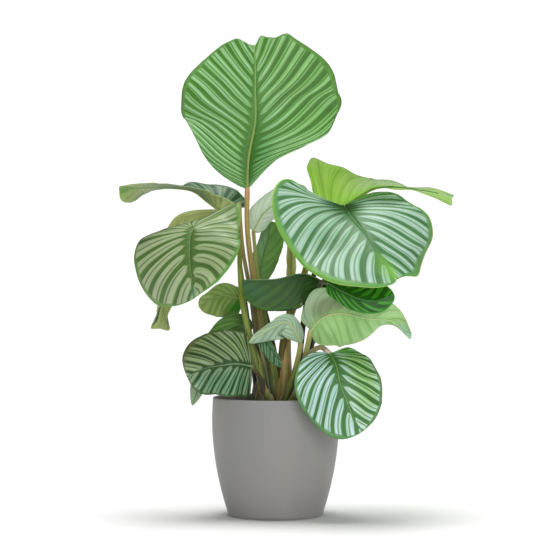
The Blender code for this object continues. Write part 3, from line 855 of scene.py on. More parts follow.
LEAVES: tuple[Leaf, ...] = (
    Leaf(
        "crown_leaf", "green_stripes", Top.VIVID, Back.LEAF, Stalks.ORANGE,
        foot=(-8, 12), via=((-18, 11, 241), (-32, 6, 338), (-40, 0, 406)),
        spine=((-40, -6, 463), (-38, -3, 508), (-29, 8, 559), (-29, 10, 602), (-29, 17, 639),
            (-32, 29, 695)),
        face=((-0.2, -0.95, 0.1), (-0.1, -0.95, 0.25)),
        left=Half(111, 0.72, 0.63, -0.09, 22, (10, 2, -7), (-10, -7, -22), -0.011, 0.06,
            crowding=2.1, sweep=(0.4, 0.5), pushes=((0.915, 0.03, 4, 1),)),
        right=Half(121, 0.88, 0.7, -0.26, 21, (21, -7, 2), (20, -16, -23), 0.029, 0.52,
            crowding=2.1, sweep=(0.4, 0.5), pushes=((0.95, 0.025, 9, 0), (0.885, 0.02, -3, 0),
            (0.84, 0.025, 4, 1), (0.465, 0.04, -3, 5), (0.39, 0.035, -8, 2), (0.3, 0.04, -4, 1))),
        wave=(4.4, 3, 0.3), notch=0.11, thick=1.35, rib=3,
        top_washes=(Wash(0.42, 0.1, 0.35, 0.3, (150, 196, 180), tint=0.6),
            Wash(0.6, 0.7, 0.7, 0.6, (216, 232, 176), tint=0.8),
            Wash(0, -0.4, 0.16, 1.2, (60, 124, 34), cover=0.8),
            Wash(0.05, 0.85, 0.2, 0.35, (146, 182, 132), cover=0.5)),
    ),
    Leaf(
        "left_reaching_leaf", "dark_back", Top.TEAL, Back.OLIVE, Stalks.YELLOW,
        foot=(-8, -10), via=((-29, -11, 221), (-46, -7, 298), (-51, 14, 357), (-52, 27, 402)),
        spine=((-76, 24, 430), (-97, 20, 446), (-118, 12, 461), (-147, 6, 465), (-182, -1, 465),
            (-222, -3, 464)),
        face=((0.4, 0.15, 0.9), (0, -0.15, 1), (0, -0.1, 1), (0, 0.15, 1)),
        left=Half(35, 0.4, 0.47, 0.59, 14, (26, 18, 14, 12, 8, 9), (0, 0, 0), 0.04, -0.07),
        right=Half(46, 0.4, 0.26, 0.85, 14, (84, 34, -3, -8, -9, -41), (0, 0, -3), 0.029, 0.39),
        wave=(2.3, 3, 0.21), thick=1.25, rib=1.6,
        top_washes=(Wash(1, 0, 0.3, 2, (96, 156, 50), cover=0.5),),
        # painted highlight: a pale green line along the left half's margin
        back_washes=(Wash(0.3, -1, 0.6, 0.1, (186, 194, 146), cover=0.8),
            Wash(0.66, 0, 0.32, 2, (92, 122, 94), cover=0.8),
            Wash(1, 0, 0.14, 2, (84, 140, 56), cover=0.8)),
    ),
    Leaf(
        "left_front_leaf", "green_stripes", Top.SAGE, Back.OLIVE, Stalks.TAN,
        foot=(-20, 2), via=((-26, 4, 234), (-35, 0, 312), (-46, -11, 376)),
        spine=((-51, -30, 443), (-81, -30, 425), (-113, -62, 406), (-118, -80, 373),
            (-111, -106, 309)),
        face=((-0.4, -0.6, 0.5), (-0.35, -0.75, 0.65), (-0.5, -0.75, 0.05)),
        left=Half(71, 0.51, 0.41, 0.01, 9, (-5, 3, 14), (-21, -17, -24), -0.018, 0.02, crowding=2.3,
            sweep=(-0.1, 0.6), pushes=((0.66, 0.13, 2, 9),)),
        right=Half(94, 0.43, 0.31, 0.17, 13, (-44, -15, -1, 3, -9), (-29, -23, -24), 0.033, 0.38,
            crowding=4, pushes=((0.24, 0.11, 6, -44), (0.62, 0.1, 0, 5), (0.78, 0.06, 3, 6))),
        wave=(3.8, 3, 0.29), origin=0.44, ease=90, rib=1.5,
        top_washes=(Wash(1, 0, 0.08, 0.9, (60, 130, 100), cover=0.5),
            Wash(0.6, -1, 0.5, 0.12, (88, 150, 62), cover=0.6),
            Wash(0.5, -0.5, 0.7, 0.8, (226, 232, 218), tint=0.8)),
    ),
    Leaf(
        "right_front_leaf", "silver_stripes", Top.SILVER, Back.LIME_AND_BACKLIGHT, Stalks.DARK,
        foot=(20, -2), via=((32, -3, 209), (45, -2, 305), (77, -6, 408)),
        spine=((97, -15, 438), (106, -55, 422), (126, -89, 395), (144, -110, 364),
            (171, -117, 328)),
        face=((0.1, -0.85, 0.45), (0.2, -0.8, 0.45), (0.35, -0.65, 0.65)),
        left=Half(113, 0.49, 0.29, 0.48, 15, (26, -2, 0), (-45, -25, -31), 0.068, 0.2, crowding=3,
            pushes=((0.95, 0.035, 12, 0),)),
        right=Half(111, 0.69, 0.75, 0.63, 18, (20, -4, 10), (28, -30, -22), 0.067, 0.59,
            crowding=3.2, pushes=((0.75, 0.015, -4, 0), (0.96, 0.03, 9, 2))),
        wave=(2.4, 3, -0.04), notch=0.05, ease=140, thick=1.2, rib=1.3,
        top_washes=(Wash(0.12, -0.6, 0.26, 0.75, (180, 228, 96), tint=1.0),
            Wash(0.06, -0.6, 0.14, 0.7, (66, 132, 26), cover=0.6),
            Wash(0.62, 1, 0.4, 0.09, (112, 170, 64), cover=0.75),
            Wash(1, 0, 0.13, 1.2, (120, 176, 66), cover=0.85),
            Wash(0.3, 0.1, 0.45, 0.38, (118, 160, 146), tint=1.0),
            Wash(0.64, 0.4, 0.28, 0.5, (206, 228, 206), tint=1.0)),
    ),
    Leaf(
        "right_back_leaf", "pale_back", Top.VIVID, Back.LIME_AND_BACKLIGHT, Stalks.ORANGE,
        foot=(12, 18), via=((11, 19, 241), (34, 24, 319), (54, 32, 384)),
        spine=((65, 36, 424), (89, 37, 434), (114, 41, 449), (142, 43, 466), (175, 37, 468),
            (210, 28, 463), (241, 13, 456)),
        face=((0.45, 0.15, 0.6), (-0.05, 0.15, 0.95), (-0.05, -0.1, 1.1), (0, 0.05, 0.9),
            (-0.05, 0.15, 1)),
        left=Half(61, 0.42, 0.48, 0.29, 13, (11, 10, 5, 1, -13), (-15, -14, -1), 0.03, -0.02,
            pushes=((0.86, 0.05, 6, 16),)),
        right=Half(91, 0.41, 0.85, 0.32, 14, (70, 31, 16, 1, 10), (-1, -14, -6), 0.062, 0.75,
            pushes=((0.15, 0.08, 7, 0), (0.29, 0.02, 2, 3), (0.385, 0.03, 0, -8),
            (0.44, 0.02, 0, 3), (0.5, 0.05, 0, -6), (0.93, 0.04, 9, 4))),
        wave=(3.6, 4, 0.49), notch=-0.07, thick=1.6, rib=2.4,
        back_washes=(Wash(0.75, 0.6, 0.35, 0.6, (160, 192, 122), cover=0.7),
            Wash(1, 0, 0.06, 2, (128, 178, 120), cover=0.8)),
    ),
    Leaf(
        "back_small_leaf", "pale_back", Top.SILVER, Back.MIST, Stalks.PALE,
        foot=(0, 24), via=((-9, 26, 240), (-25, 32, 334)),
        spine=((-32, 38, 404), (-18, 43, 429), (7, 49, 448), (46, 56, 465)),
        face=((-0.3, 0.8, 0.3), (-0.2, 0.9, 0.3)), left=Half(20, 0.5, 0.5, 0.2, 8),
        right=Half(22, 0.5, 0.5, 0.2, 8, ripple_phase=0.4), rib=1.2, small=True,
        back_washes=(Wash(0.5, 0, 0.9, 2, (230, 243, 230), cover=0.85),),
    ),
    Leaf(
        "back_upright_leaf", "dark_back", Top.FOREST, Back.MOSS, Stalks.DARK,
        foot=(6, 35), via=((-6, 38, 240),),
        spine=((-25, 50, 322), (-21, 60, 357), (-12, 68, 390), (-8, 74, 419)),
        face=((0.35, 0.9, 0), (0.3, 0.9, 0)), left=Half(27, 0.7, 0.4, 0.1, 8, lift=(10, 10, 10)),
        right=Half(17, 0.5, 0.5, 0.1, 8, lift=(20, 20, 20), ripple_phase=0.4), thick=1.9, rib=1,
        small=True,
        back_washes=(Wash(0.5, 0, 0.9, 2, (112, 154, 86), cover=0.55),
            Wash(0.9, 0.6, 0.5, 0.8, (120, 150, 130), cover=0.5)),
    ),
    Leaf(
        "left_drooping_leaf", "dark_back", Top.FOREST, Back.OLIVE, Stalks.OLIVE,
        foot=(-22, 36), via=((-31, 44, 212), (-44, 46, 305)),
        spine=((-58, 40, 411), (-77, 52, 429), (-109, 58, 431), (-142, 62, 418), (-156, 64, 377),
            (-160, 62, 319), (-167, 56, 263)),
        face=((0.1, 0.9, 0.45), (-0.2, 0.9, 0.4), (-0.7, 0.7, 0.2), (-0.3, 0.9, 0)),
        left=Half(7, 0.5, 0.7, 0.2, 10, (80, 70, 30), (-5, -5, -10), pushes=((0.5, 0.06, 0, 5),
            (0.8, 0.06, 0, 6), (0.93, 0.05, 4, 14))),
        right=Half(46, 0.5, 1.1, 0.2, 12, (-10, -10, -5), (-15, -15, -10), 0.03, 0.4,
            pushes=((0.92, 0.06, 4, 13),)),
        rib=1, back_washes=(Wash(0.5, 0, 0.9, 2, (164, 172, 110), cover=0.5),),
    ),
    Leaf(
        "middle_folded_leaf", "dark_back", Top.FOREST, Back.SLATE, Stalks.DARK,
        foot=(26, 14), via=((39, 12, 217), (66, -16, 270)),
        spine=((86, -30, 319), (43, -34, 342), (-1, -36, 335), (-47, -32, 334)),
        face=((0, 1, 0), (0, 1, 0)), left=Half(48, 0.45, 0.3, 0.3, 12, (160, 165, 160), (5, 5, 5)),
        right=Half(46, 0.4, 0.3, 0.3, 14, (-4, 0, 0), (-10, -10, -10), 0.03, 0.4), thick=1.3,
        rib=1.2, back_washes=(Wash(0.95, 0.7, 0.2, 0.6, (50, 96, 62), cover=0.5),),
    ),
    Leaf(
        "unfurling_leaf", "dark_back", Top.FOREST, Back.OLIVE, Stalks.YELLOW,
        foot=(20, 36), via=((17, 46, 240),),
        spine=((23, 62, 319), (23, 64, 360), (24, 66, 399), (27, 68, 438)),
        face=((0, 1, 0), (0, 1, 0)),
        left=Half(30, 0.25, 0.4, 0, 6, (35, 35, 35), (110, 110, 110), 0),
        right=Half(30, 0.25, 0.4, 0, 6, (35, 35, 35), (110, 110, 110), 0, 0.4), wave=(0, 1, 0),
        thick=1.7, small=True, back_washes=(Wash(0.5, 0, 1, 2, (176, 170, 76), cover=0.8),),
    ),
    Leaf(
        "right_shaded_leaf", "green_stripes", Top.SHADED, Back.MOSS, Stalks.DARK,
        foot=(40, 4), via=((50, -8, 235), (57, -47, 303), (63, -71, 330)),
        spine=((72, -84, 330), (91, -91, 319), (116, -97, 308), (140, -99, 306), (162, -97, 316)),
        face=((0, -0.75, 0.65), (0, -0.75, 0.65)),
        left=Half(46, 0.5, 0.4, 0.2, 10, (0, 0, 0), (-10, -10, -10)),
        right=Half(18, 0.5, 0.4, 0.2, 9, (-30, -30, -30), (-20, -20, -20), 0.03, 0.4), thick=1.3,
        rib=1, small=True,
    ),
    Leaf(
        "right_arching_leaf", "pale_back", Top.SILVER, Back.LEAF, Stalks.PALE,
        foot=(32, -10), via=((39, -24, 200), (43, -44, 233)),
        spine=((49, -56, 263), (65, -64, 281), (91, -67, 288), (128, -75, 281), (163, -58, 276),
            (191, -60, 248)),
        face=((0.3, 0.85, -0.25), (0.05, 0.9, 0.3), (0.15, 0.85, 0.35), (0.3, 0.75, 0.65)),
        left=Half(49, 1.37, 2.34, 0.4, 12, (-9, 10, 19), (-19, -6, 4), 0.044, 0.14, crowding=1.6),
        right=Half(36, 0.38, 0.75, 0.33, 14, (10, 0, 5), (-15, -20, -5), 0.055, 0.7,
            sweep=(0.28, 0.6), pushes=((0.31, 0.05, 0, -6), (0.4, 0.035, -3, 5))),
        wave=(4.5, 3, 0.11), notch=0.03, ease=30, thick=1.35, rib=1.1,
        back_washes=(Wash(0.25, 0.6, 0.35, 0.75, (158, 181, 150), cover=0.9),
            Wash(0.5, 0.35, 0.22, 0.5, (114, 126, 92), cover=0.8),
            Wash(0.6, -0.5, 0.5, 0.6, (238, 246, 236), tint=1.0),
            Wash(0.97, 0, 0.06, 1.5, (150, 190, 176), cover=0.8)),
    ),
    Leaf(
        "middle_pale_leaf", "pale_back", Top.SILVER, Back.MIST, Stalks.PALE,
        foot=(8, -22), via=((26, -28, 202),),
        spine=((36, -30, 245), (27, -35, 261), (15, -39, 275), (-9, -45, 266), (-38, -46, 246)),
        face=((-0.5, 0.8, 0.1), (-0.35, 0.75, 0.5), (-0.45, 0.7, 0.4)),
        left=Half(13, 0.46, 0.8, 0.1, 9, (12, 8, 5), (-19, -30, -20)),
        right=Half(25, 1, 0.9, 0, 10, (10, 8, 10), (-20, -28, -18), 0.03, 0.4),
        wave=(1.8, 3, -0.12), thick=1.3, rib=1.3, small=True,
    ),
    Leaf(
        "small_striped_leaf", "green_stripes", Top.TEAL, Back.MOSS, Stalks.OLIVE,
        foot=(-4, -27), via=((-13, -22, 204),),
        spine=((-25, -20, 258), (-13, -24, 247), (-2, -26, 233), (9, -26, 212)),
        face=((0, -1, 0.3), (0, -1, 0.2)), left=Half(4, 0.5, 0.5, 0.1, 8),
        right=Half(14, 0.5, 0.5, 0.1, 9, ripple_phase=0.4), rib=0.8, small=True,
        top_washes=(Wash(0.5, 0, 0.9, 2, (215, 240, 215), tint=1.0),),
    ),
    Leaf(
        "low_left_leaf", "green_stripes", Top.FOREST, Back.OLIVE, Stalks.PURPLE,
        foot=(-16, -24), via=((-19, -27, 191),),
        spine=((-34, -36, 213), (-54, -50, 217), (-76, -58, 215), (-98, -65, 211),
            (-123, -69, 201)),
        face=((-0.05, -0.95, 0.35), (-0.15, -0.9, 0.3)),
        left=Half(47, 0.24, 0.31, 0.44, 11, (-4, 8, 1), (-18, -7, -12), 0.022, 0.11, crowding=3,
            sweep=(0.45, 0.5)),
        right=Half(57, 0.29, 0.4, 0.29, 12, (0, -4, 1), (-17, -19, -15), 0.025, 0.44, crowding=3),
        wave=(3, 3, 0.22), rib=1.5,
        top_washes=(Wash(0.5, 0.6, 0.7, 0.7, (226, 232, 204), tint=0.9),
            Wash(0.6, -0.6, 0.6, 0.7, (190, 226, 226), tint=1.0),
            Wash(0.9, 0.95, 0.5, 0.12, (110, 110, 70), cover=0.5)),
    ),
    Leaf(
        "low_back_leaf", "dark_back", Top.FOREST, Back.MOSS, Stalks.DARK,
        foot=(-24, 12), via=((-31, 11, 203),),
        spine=((-38, 12, 257), (-52, 12, 270), (-75, 6, 257), (-97, -4, 218), (-118, -12, 156)),
        face=((-0.2, 0.9, 0.4), (-0.6, 0.8, 0.1), (-0.3, 0.9, 0)), left=Half(19, 0.5, 0.7, 0.2, 8),
        right=Half(19, 0.5, 0.7, 0.2, 8, ripple_phase=0.4), rib=0.9, small=True,
        # painted shade: a darker olive base, where the leaf hangs behind the low left leaf
        top_washes=(Wash(0.1, 0, 0.5, 2, (64, 92, 42), cover=0.8),
            Wash(0.9, 0, 0.4, 2, (166, 190, 156), cover=0.85)),
        # painted shade: a darker olive base, where the leaf hangs behind the low left leaf
        back_washes=(Wash(0.1, 0, 0.5, 2, (64, 92, 42), cover=0.8),
            Wash(0.9, 0, 0.4, 2, (166, 190, 156), cover=0.85)),
    ),
    Leaf(
        "left_olive_leaf", "dark_back", Top.FOREST, Back.OLIVE, Stalks.YELLOW,
        foot=(-13, 24), via=((-24, 23, 205), (-37, 24, 262)),
        spine=((-46, 18, 308), (-56, 15, 309), (-73, 12, 312), (-91, 6, 307), (-109, 1, 296)),
        face=((-0.2, 0.85, 0.5), (-0.33, 0.88, 0.33)),
        left=Half(18, 0.37, 0.55, 0.26, 9, (15, 15, 9), (-21, -30, -21), 0.03, 0.04),
        right=Half(36, 0.41, 0.51, 0.34, 9, (15, 14, 11), (-20, -31, -20), 0.03, 0.47),
        wave=(3, 3, -0.25), rib=1, small=True,
        back_washes=(Wash(0.4, 0, 1, 2, (186, 212, 184), tint=1.0),
            Wash(0.25, 0.5, 0.32, 0.7, (44, 132, 18), cover=0.9)),
    ),
    Leaf(
        "low_right_leaf", "silver_stripes", Top.BRIGHT, Back.LEAF, Stalks.BLUSH,
        foot=(22, -20), via=((33, -38, 200), (47, -58, 230), (62, -70, 241)),
        spine=((75, -78, 233), (83, -99, 217), (89, -108, 191), (99, -111, 165), (108, -107, 143),
            (119, -105, 127)),
        face=((0.2, -0.7, 0.65), (0, -1, 0.15), (0.2, -0.9, 0)),
        left=Half(55, 0.54, 0.35, 0.47, 12, (11, 2, -2), (-15, -18, -21), 0.016, 0.05,
            crowding=3.5),
        right=Half(62, 0.45, 0.52, 0.14, 13, (15, 1, 4), (-20, -15, -19), 0.012, 0.36,
            crowding=3.5),
        wave=(2.9, 3, -0.27), ease=30, thick=1.3, rib=1.5,
        top_washes=(Wash(0.14, -0.55, 0.3, 0.75, (150, 210, 90), tint=0.9),
            Wash(0.5, 0.5, 0.8, 0.8, (222, 240, 255), tint=0.5),
            Wash(0.5, -0.6, 0.6, 0.5, (200, 228, 150), tint=1.0),
            Wash(0.6, -1, 0.4, 0.05, (104, 92, 96), cover=0.5)),
    ),
)


@dataclass
class Blade:
    """The surface of one leaf's blade, in rows that follow its side veins."""

    leaf: Leaf
    thickness: float = 0.55
    pleat: float = 0.5
    edge_ripples: int = 4
    edge_flutter: float = 1.3
    flutter_rate: float = 22.0
    notch_spread: float = 0.1
    base_and_tip_spread: float = 1 / 30
    margin_points: int = 481
    right_wave_shift: float = 0.35

    def __post_init__(self) -> None:
        """Measure the midrib and choose how fine the rows are."""
        self.curve = Curve(self.leaf.spine)
        self.rows_per_band, self.columns = (6, 14) if self.leaf.small else (8, 22)

    def normal(self, share: Array, direction: Array) -> Array:
        """Find the way the midrib's upper side faces.

        Args:
            share: shares of the blade's length.
            direction: the midrib's directions there.

        Returns:
            Unit normals square to the midrib.
        """
        facing = np.asarray(self.leaf.face, float)
        normal = columns_at(share, np.linspace(0, 1, len(facing)), facing)
        return unit(normal - (normal * direction).sum(axis=-1, keepdims=True) * direction)

    def margin(self, half: Half, a: Array) -> tuple[Array, Array]:
        """Lay out the margin of one half.

        Args:
            half: the half.
            a: from 0 at the base to 1 at the tip.

        Returns:
            How far along and out from the midrib the margin lies.
        """
        x = (1 - np.cos(math.pi * a)) / 2
        widest = half.base_power / (half.base_power + half.tip_power)
        fullness = x**half.base_power * (1 - x) ** half.tip_power
        fullness /= widest**half.base_power * (1 - widest) ** half.tip_power
        uneven = np.sin(math.tau * (self.edge_ripples * a + half.ripple_phase)) * np.sin(math.pi * a)
        notch = self.leaf.notch * np.exp(-(((1 - a) / self.notch_spread) ** 2))
        along = x - half.lobe * np.sin(math.pi * a) ** 2 * (1 - x) ** 2
        along = self.curve.length * (along - notch)
        out = half.width * fullness * (1 + half.ripple * uneven)
        ends = np.clip(np.minimum(a, 1 - a) / self.base_and_tip_spread, 0, 1)
        for where, spread, forward, outward in half.pushes:
            hump = np.exp(-(((a - where) / spread) ** 2)) * ends
            along = along + forward * hump
            out = np.maximum(out + outward * hump, 0)
        return along, out

    def half(self, half: Half, side: int) -> Patch:
        """Lay out one half.

        Args:
            half: the half.
            side: 1 for the right half, -1 for the left.

        Returns:
            Its points, row by row from the midrib out, with the maps Veins and Span.
        """
        steps = np.linspace(0, 1, self.rows_per_band * half.bands + 1)
        a = np.linspace(0, 1, self.margin_points)
        far = walked(np.stack(self.margin(half, a), axis=-1))
        rows = np.interp(steps, far / far[-1], a)
        if self.leaf.ease:
            far = walked(self.eased(self.surface(half, side, rows)[0])[:, -1])
            rows = np.interp(steps, far / far[-1], rows)
        plain, relief, maps = self.surface(half, side, rows)
        return Patch(self.eased(plain) + relief, maps)

    def eased(self, points: Array) -> Array:
        """Even out the creases of a half, mostly from front to back.

        Args:
            points: the half's points.

        Returns:
            The evened points, with the midrib and the first and last rows left as they are.
        """
        smooth = points.copy()
        for turn in range(self.leaf.ease):
            kept = smooth.copy()
            smooth[1:-1] = (kept[:-2] + 2 * kept[1:-1] + kept[2:]) / 4
            if turn % 4:
                smooth[..., [0, 2]] = kept[..., [0, 2]]
        share = np.clip(np.linspace(0, 3, points.shape[1]), 0, 1)[None, :, None]
        return points + share * (smooth - points)

    def surface(self, half: Half, side: int, rows: Array) -> tuple[Array, Array, dict[str, Array]]:
        """Lay out the surface of one half.

        Args:
            half: the half.
            side: 1 for the right half, -1 for the left.
            rows: each row's place from base 0 to tip 1.

        Returns:
            The points of the plain surface, what its waves and pleats add, and the maps.
        """
        leaf, length = self.leaf, self.curve.length
        rows = rows[:, None]
        row_share = np.linspace(0, 1, len(rows))[:, None]
        out_share = (np.linspace(0, 1, self.columns + 1) ** 0.9)[None, :]
        edge_along, edge_out = self.margin(half, rows)
        start = leaf.origin + row_share**half.crowding * (1 - leaf.notch - leaf.origin)
        start = length * start
        middle = 2 * out_share * (1 - out_share)
        forward, outward = half.sweep
        along = (1 - out_share) ** 2 * start + out_share**2 * edge_along
        along = along + middle * (start + forward * (edge_along - start))
        out = middle * outward * edge_out + out_share**2 * edge_out

        share = np.clip(along / length, 0, 1)
        lift = np.radians(np.interp(share, np.linspace(0, 1, len(half.lift)), half.lift))
        bend = np.radians(np.interp(share, np.linspace(0, 1, len(half.curl)), half.curl))
        bend = bend / half.width
        bend = np.where(np.abs(bend) < 1e-6, 1e-6, bend)
        angle = lift + bend * out
        sideways = (np.sin(angle) - np.sin(lift)) / bend
        upwards = (np.cos(lift) - np.cos(angle)) / bend

        position, direction = self.curve.at(along)
        normal = self.normal(share, direction)
        across = np.cross(direction, normal) * side
        plain = position + across * sideways[..., None] + normal * upwards[..., None]
        tilted = normal * np.cos(angle)[..., None] - across * np.sin(angle)[..., None]
        raised = self.raised(half, side, rows, out_share)
        veins = np.stack(np.broadcast_arrays(row_share, out_share * side), axis=-1)
        span = np.stack([share, out * side / 10], axis=-1)
        return plain, tilted * raised[..., None], {"Veins": veins, "Span": span}

    def raised(self, half: Half, side: int, rows: Array, out_share: Array) -> Array:
        """Wave the margin, flutter its very edge and raise the blade between its side veins.

        Args:
            half: the half.
            side: 1 for the right half, -1 for the left.
            rows: each row's place from base to tip.
            out_share: each column's share of the way to the margin.

        Returns:
            How far each point is lifted off the plain blade.
        """
        height, count, phase = self.leaf.wave
        phase = phase + (self.right_wave_shift if side > 0 else 0.0)
        row_share = np.linspace(0, 1, len(rows))[:, None]
        ends = np.sqrt(np.clip(np.sin(math.pi * row_share), 0, 1))
        wave = height * out_share**2.5 * np.sin(math.tau * (count * rows + phase)) * ends
        seed = 10.0 * len(self.leaf.name) + 3.0 * side
        places = [(self.flutter_rate * float(a), seed, self.leaf.foot[0]) for a in rows[:, 0]]
        small = np.array([noise.noise(Vector(place)) for place in places])[:, None]
        flutter = self.edge_flutter * small * out_share**6 * ends
        bands = half.bands * row_share + (0.5 if side > 0 else 0.0)
        depth = self.pleat * np.sin(math.pi * np.clip(out_share, 0, 1)) ** 0.7
        pleats = -depth * np.cos(math.tau * bands) * np.sin(math.pi * row_share) ** 0.3
        return wave + flutter + pleats

    def build(self, finishes: list[Material]) -> Object:
        """Make the blade.

        Args:
            finishes: the finish of its upper face and of its underside.

        Returns:
            The blade's object.
        """
        left = self.half(self.leaf.left, -1)
        mirrored = Patch(left.points[:, ::-1], {key: m[:, ::-1] for key, m in left.maps.items()})
        patches = [mirrored, self.half(self.leaf.right, 1)]
        return sheet(self.leaf.name + "_blade", patches, finishes, self.thickness)


@dataclass
class Stem:
    """A leaf's stalk, the midrib that carries it on and the dry sheath round its foot."""

    leaf: Leaf
    blade: Blade
    foot_height: float = 130.0
    straight: float = 20.0
    foot_radius: float = 4.2
    knee_radius: float = 2.4
    tip_radius: float = 0.45
    knee_place: float = 0.975
    knee_spread: float = 9.0
    knee_swelling: float = 0.16
    rib_points: int = 40
    rib_end: float = 0.985
    rib_sunk: float = 0.62
    rib_rise: float = 0.06
    sides: int = 14
    step: float = 5.0
    sheath_height: float = 100.0
    sheath_thickness: float = 0.4
    sheath_gap: float = 0.7
    sheath_flare: float = 7.0
    sheath_reach: float = 0.4

    def __post_init__(self) -> None:
        """Lay out the stalk's path above its straight foot."""
        start = (*self.leaf.foot, self.foot_height + self.straight)
        self.path = Curve([start, *self.leaf.via, self.leaf.spine[0]])

    def radius(self, up: Array) -> Array:
        """Give the stalk's radius, from 0 at its foot to 1 at its knee."""
        return (self.foot_radius + (self.knee_radius - self.foot_radius) * up) * self.leaf.thick

    def build(self, finish: Material) -> Object:
        """Make the stalk and midrib as one closed, tapering tube.

        Args:
            finish: the stalk's finish.

        Returns:
            The tube's object.
        """
        up = np.linspace(0, 1, math.ceil(self.path.length / self.step) + 1)
        risen, _ = self.path.at(up * self.path.length)
        from_knee = (up - self.knee_place) * self.path.length
        knee = np.exp(-((from_knee / self.knee_spread) ** 2))
        share = np.linspace(0, 1, self.rib_points + 1)[1:] ** 1.3 * (self.rib_end - self.leaf.notch)
        along, direction = self.blade.curve.at(share * self.blade.curve.length)
        rib = self.leaf.rib * (1 - share) ** 0.8 + self.tip_radius * share
        rise = np.clip(share / self.rib_rise, 0, 1)
        sunk = self.rib_sunk * rib * rise * rise * (3 - 2 * rise)
        along = along - self.blade.normal(share, direction) * sunk[:, None]
        centres = np.vstack([[(*self.leaf.foot, self.foot_height)], risen, along])
        stalk = self.radius(up) * (1 + self.knee_swelling * knee)
        radii = np.concatenate([[self.foot_radius], stalk, rib])

        forward = unit(np.gradient(centres, axis=0))
        side = unit(np.cross(forward[0], np.array([0.3, 1.0, 0.2])))
        angle = np.linspace(0, math.tau, self.sides + 1)[:, None]
        rings = []
        for centre, ahead, radius in zip(centres, forward, radii):
            side = unit(side - (side @ ahead) * ahead)
            circle = np.cos(angle) * side + np.sin(angle) * np.cross(ahead, side)
            rings.append(centre + circle * radius)
        ends = [np.broadcast_to(end, rings[0].shape) for end in (centres[0], centres[-1])]
        points = np.stack([ends[0], *rings, ends[1]])
        length = np.concatenate([[0.0, 0.0], up, 1 + share, 1 + share[-1:]])[:, None]
        values = np.stack(np.broadcast_arrays(length, angle.T / math.tau), axis=-1)
        return sheet(self.leaf.name + "_stalk", [Patch(points, {"Length": values})], [finish])

    def sheath(self, finish: Material, seed: int) -> Object:
        """Make the thin dry sheath that wraps the stalk's foot and ends in a torn point.

        Args:
            finish: its papery finish.
            seed: what makes it unlike the others.

        Returns:
            The sheath's object.
        """
        rng = np.random.default_rng(seed)
        around = np.linspace(-1, 1, 25)
        height = self.sheath_height * rng.uniform(0.6, 1.25)
        height = min(height, self.sheath_reach * self.path.length)
        torn = rng.uniform(-0.07, 0.07, around.size)
        reach = height * (0.25 + 0.75 * (1 - np.abs(around)) ** 0.8 + torn)
        rise = np.linspace(0, 1, 16)[:, None]
        distance = np.clip(rise * np.clip(reach, 4, None)[None, :] - 3.0, -3.0, None)
        centre, direction = self.path.at(distance)
        angle = rng.uniform(0, math.tau) + around * math.radians(150)
        east = unit(np.cross(direction, np.array([0.0, 1.0, 0.0])))
        north = np.cross(direction, east)
        radius = self.radius(distance / self.path.length) + self.sheath_gap
        flare = self.sheath_flare * rng.uniform(0.5, 1.0) * np.sin(math.pi * rise**0.7)
        radius = radius + flare + 0.35 * np.sin(angle * 7 + rise * 5)
        outward = east * np.cos(angle)[None, :, None] + north * np.sin(angle)[None, :, None]
        length = np.stack(np.broadcast_arrays(rise, angle[None, :] / math.tau), axis=-1)
        patch = Patch(centre + outward * radius[..., None], {"Length": length})
        return sheet(self.leaf.name + "_sheath", [patch], [finish], self.sheath_thickness, 1.0)


@dataclass
class Plant:
    """All the leaves."""

    leaves: tuple[Leaf, ...]
    finish: Finish
    dry: StalkLook = StalkLook((36, 29, 17), (58, 50, 30), (96, 84, 56))
    dry_seed: float = 5.0
    dry_every: int = 3
    seed_step: float = 1.37

    def build(self) -> None:
        """Make every leaf's blade, stalk and sheath."""
        papery = self.finish.make("dry_sheath", self.dry, seed=self.dry_seed)
        for number, leaf in enumerate(self.leaves):
            seed = self.seed_step * number
            more = {"left_bands": leaf.left.bands, "right_bands": leaf.right.bands, "seed": seed}
            looks = (("top", leaf.top, leaf.top_washes), ("back", leaf.back, leaf.back_washes))
            faces = [
                self.finish.make(f"{leaf.name}_{word}", look.value, washes, **more)
                for word, look, washes in looks
            ]
            blade = Blade(leaf)
            stem = Stem(leaf, blade)
            stalk = self.finish.stalks[leaf.stalk]
            wear(blade.build(faces), leaf.slot, leaf.name)
            wear(stem.build(stalk), leaf.slot, leaf.name)
            wear(stem.sheath(stalk if number % self.dry_every else papery, number), leaf.slot)


def arc(centre: tuple[float, float], radius: float, start: float, end: float, steps: int) -> Profile:
    """Lay out points along an arc whose first and last angles are in degrees."""
    angles = np.radians(np.linspace(start, end, steps + 1))
    return [(centre[0] + radius * math.cos(a), centre[1] + radius * math.sin(a)) for a in angles]


def turned(name: str, profile: Profile, sides: int, finish: Material) -> Object:
    """Turn a profile about the pot's axis.

    Args:
        name: the object's name.
        profile: points as radius and height, ending on the axis.
        sides: how many steps go round.
        finish: its finish.

    Returns:
        The turned object.
    """
    radius, height = np.array(profile).T[..., None]
    angle = np.linspace(0, math.tau, sides + 1)
    rings = (radius * np.cos(angle), radius * np.sin(angle), height)
    turn = (np.linspace(0, 1, len(profile))[:, None], angle / math.tau)
    points, values = (np.stack(np.broadcast_arrays(*parts), axis=-1) for parts in (rings, turn))
    return sheet(name, [Patch(points, {"Turn": values})], [finish])


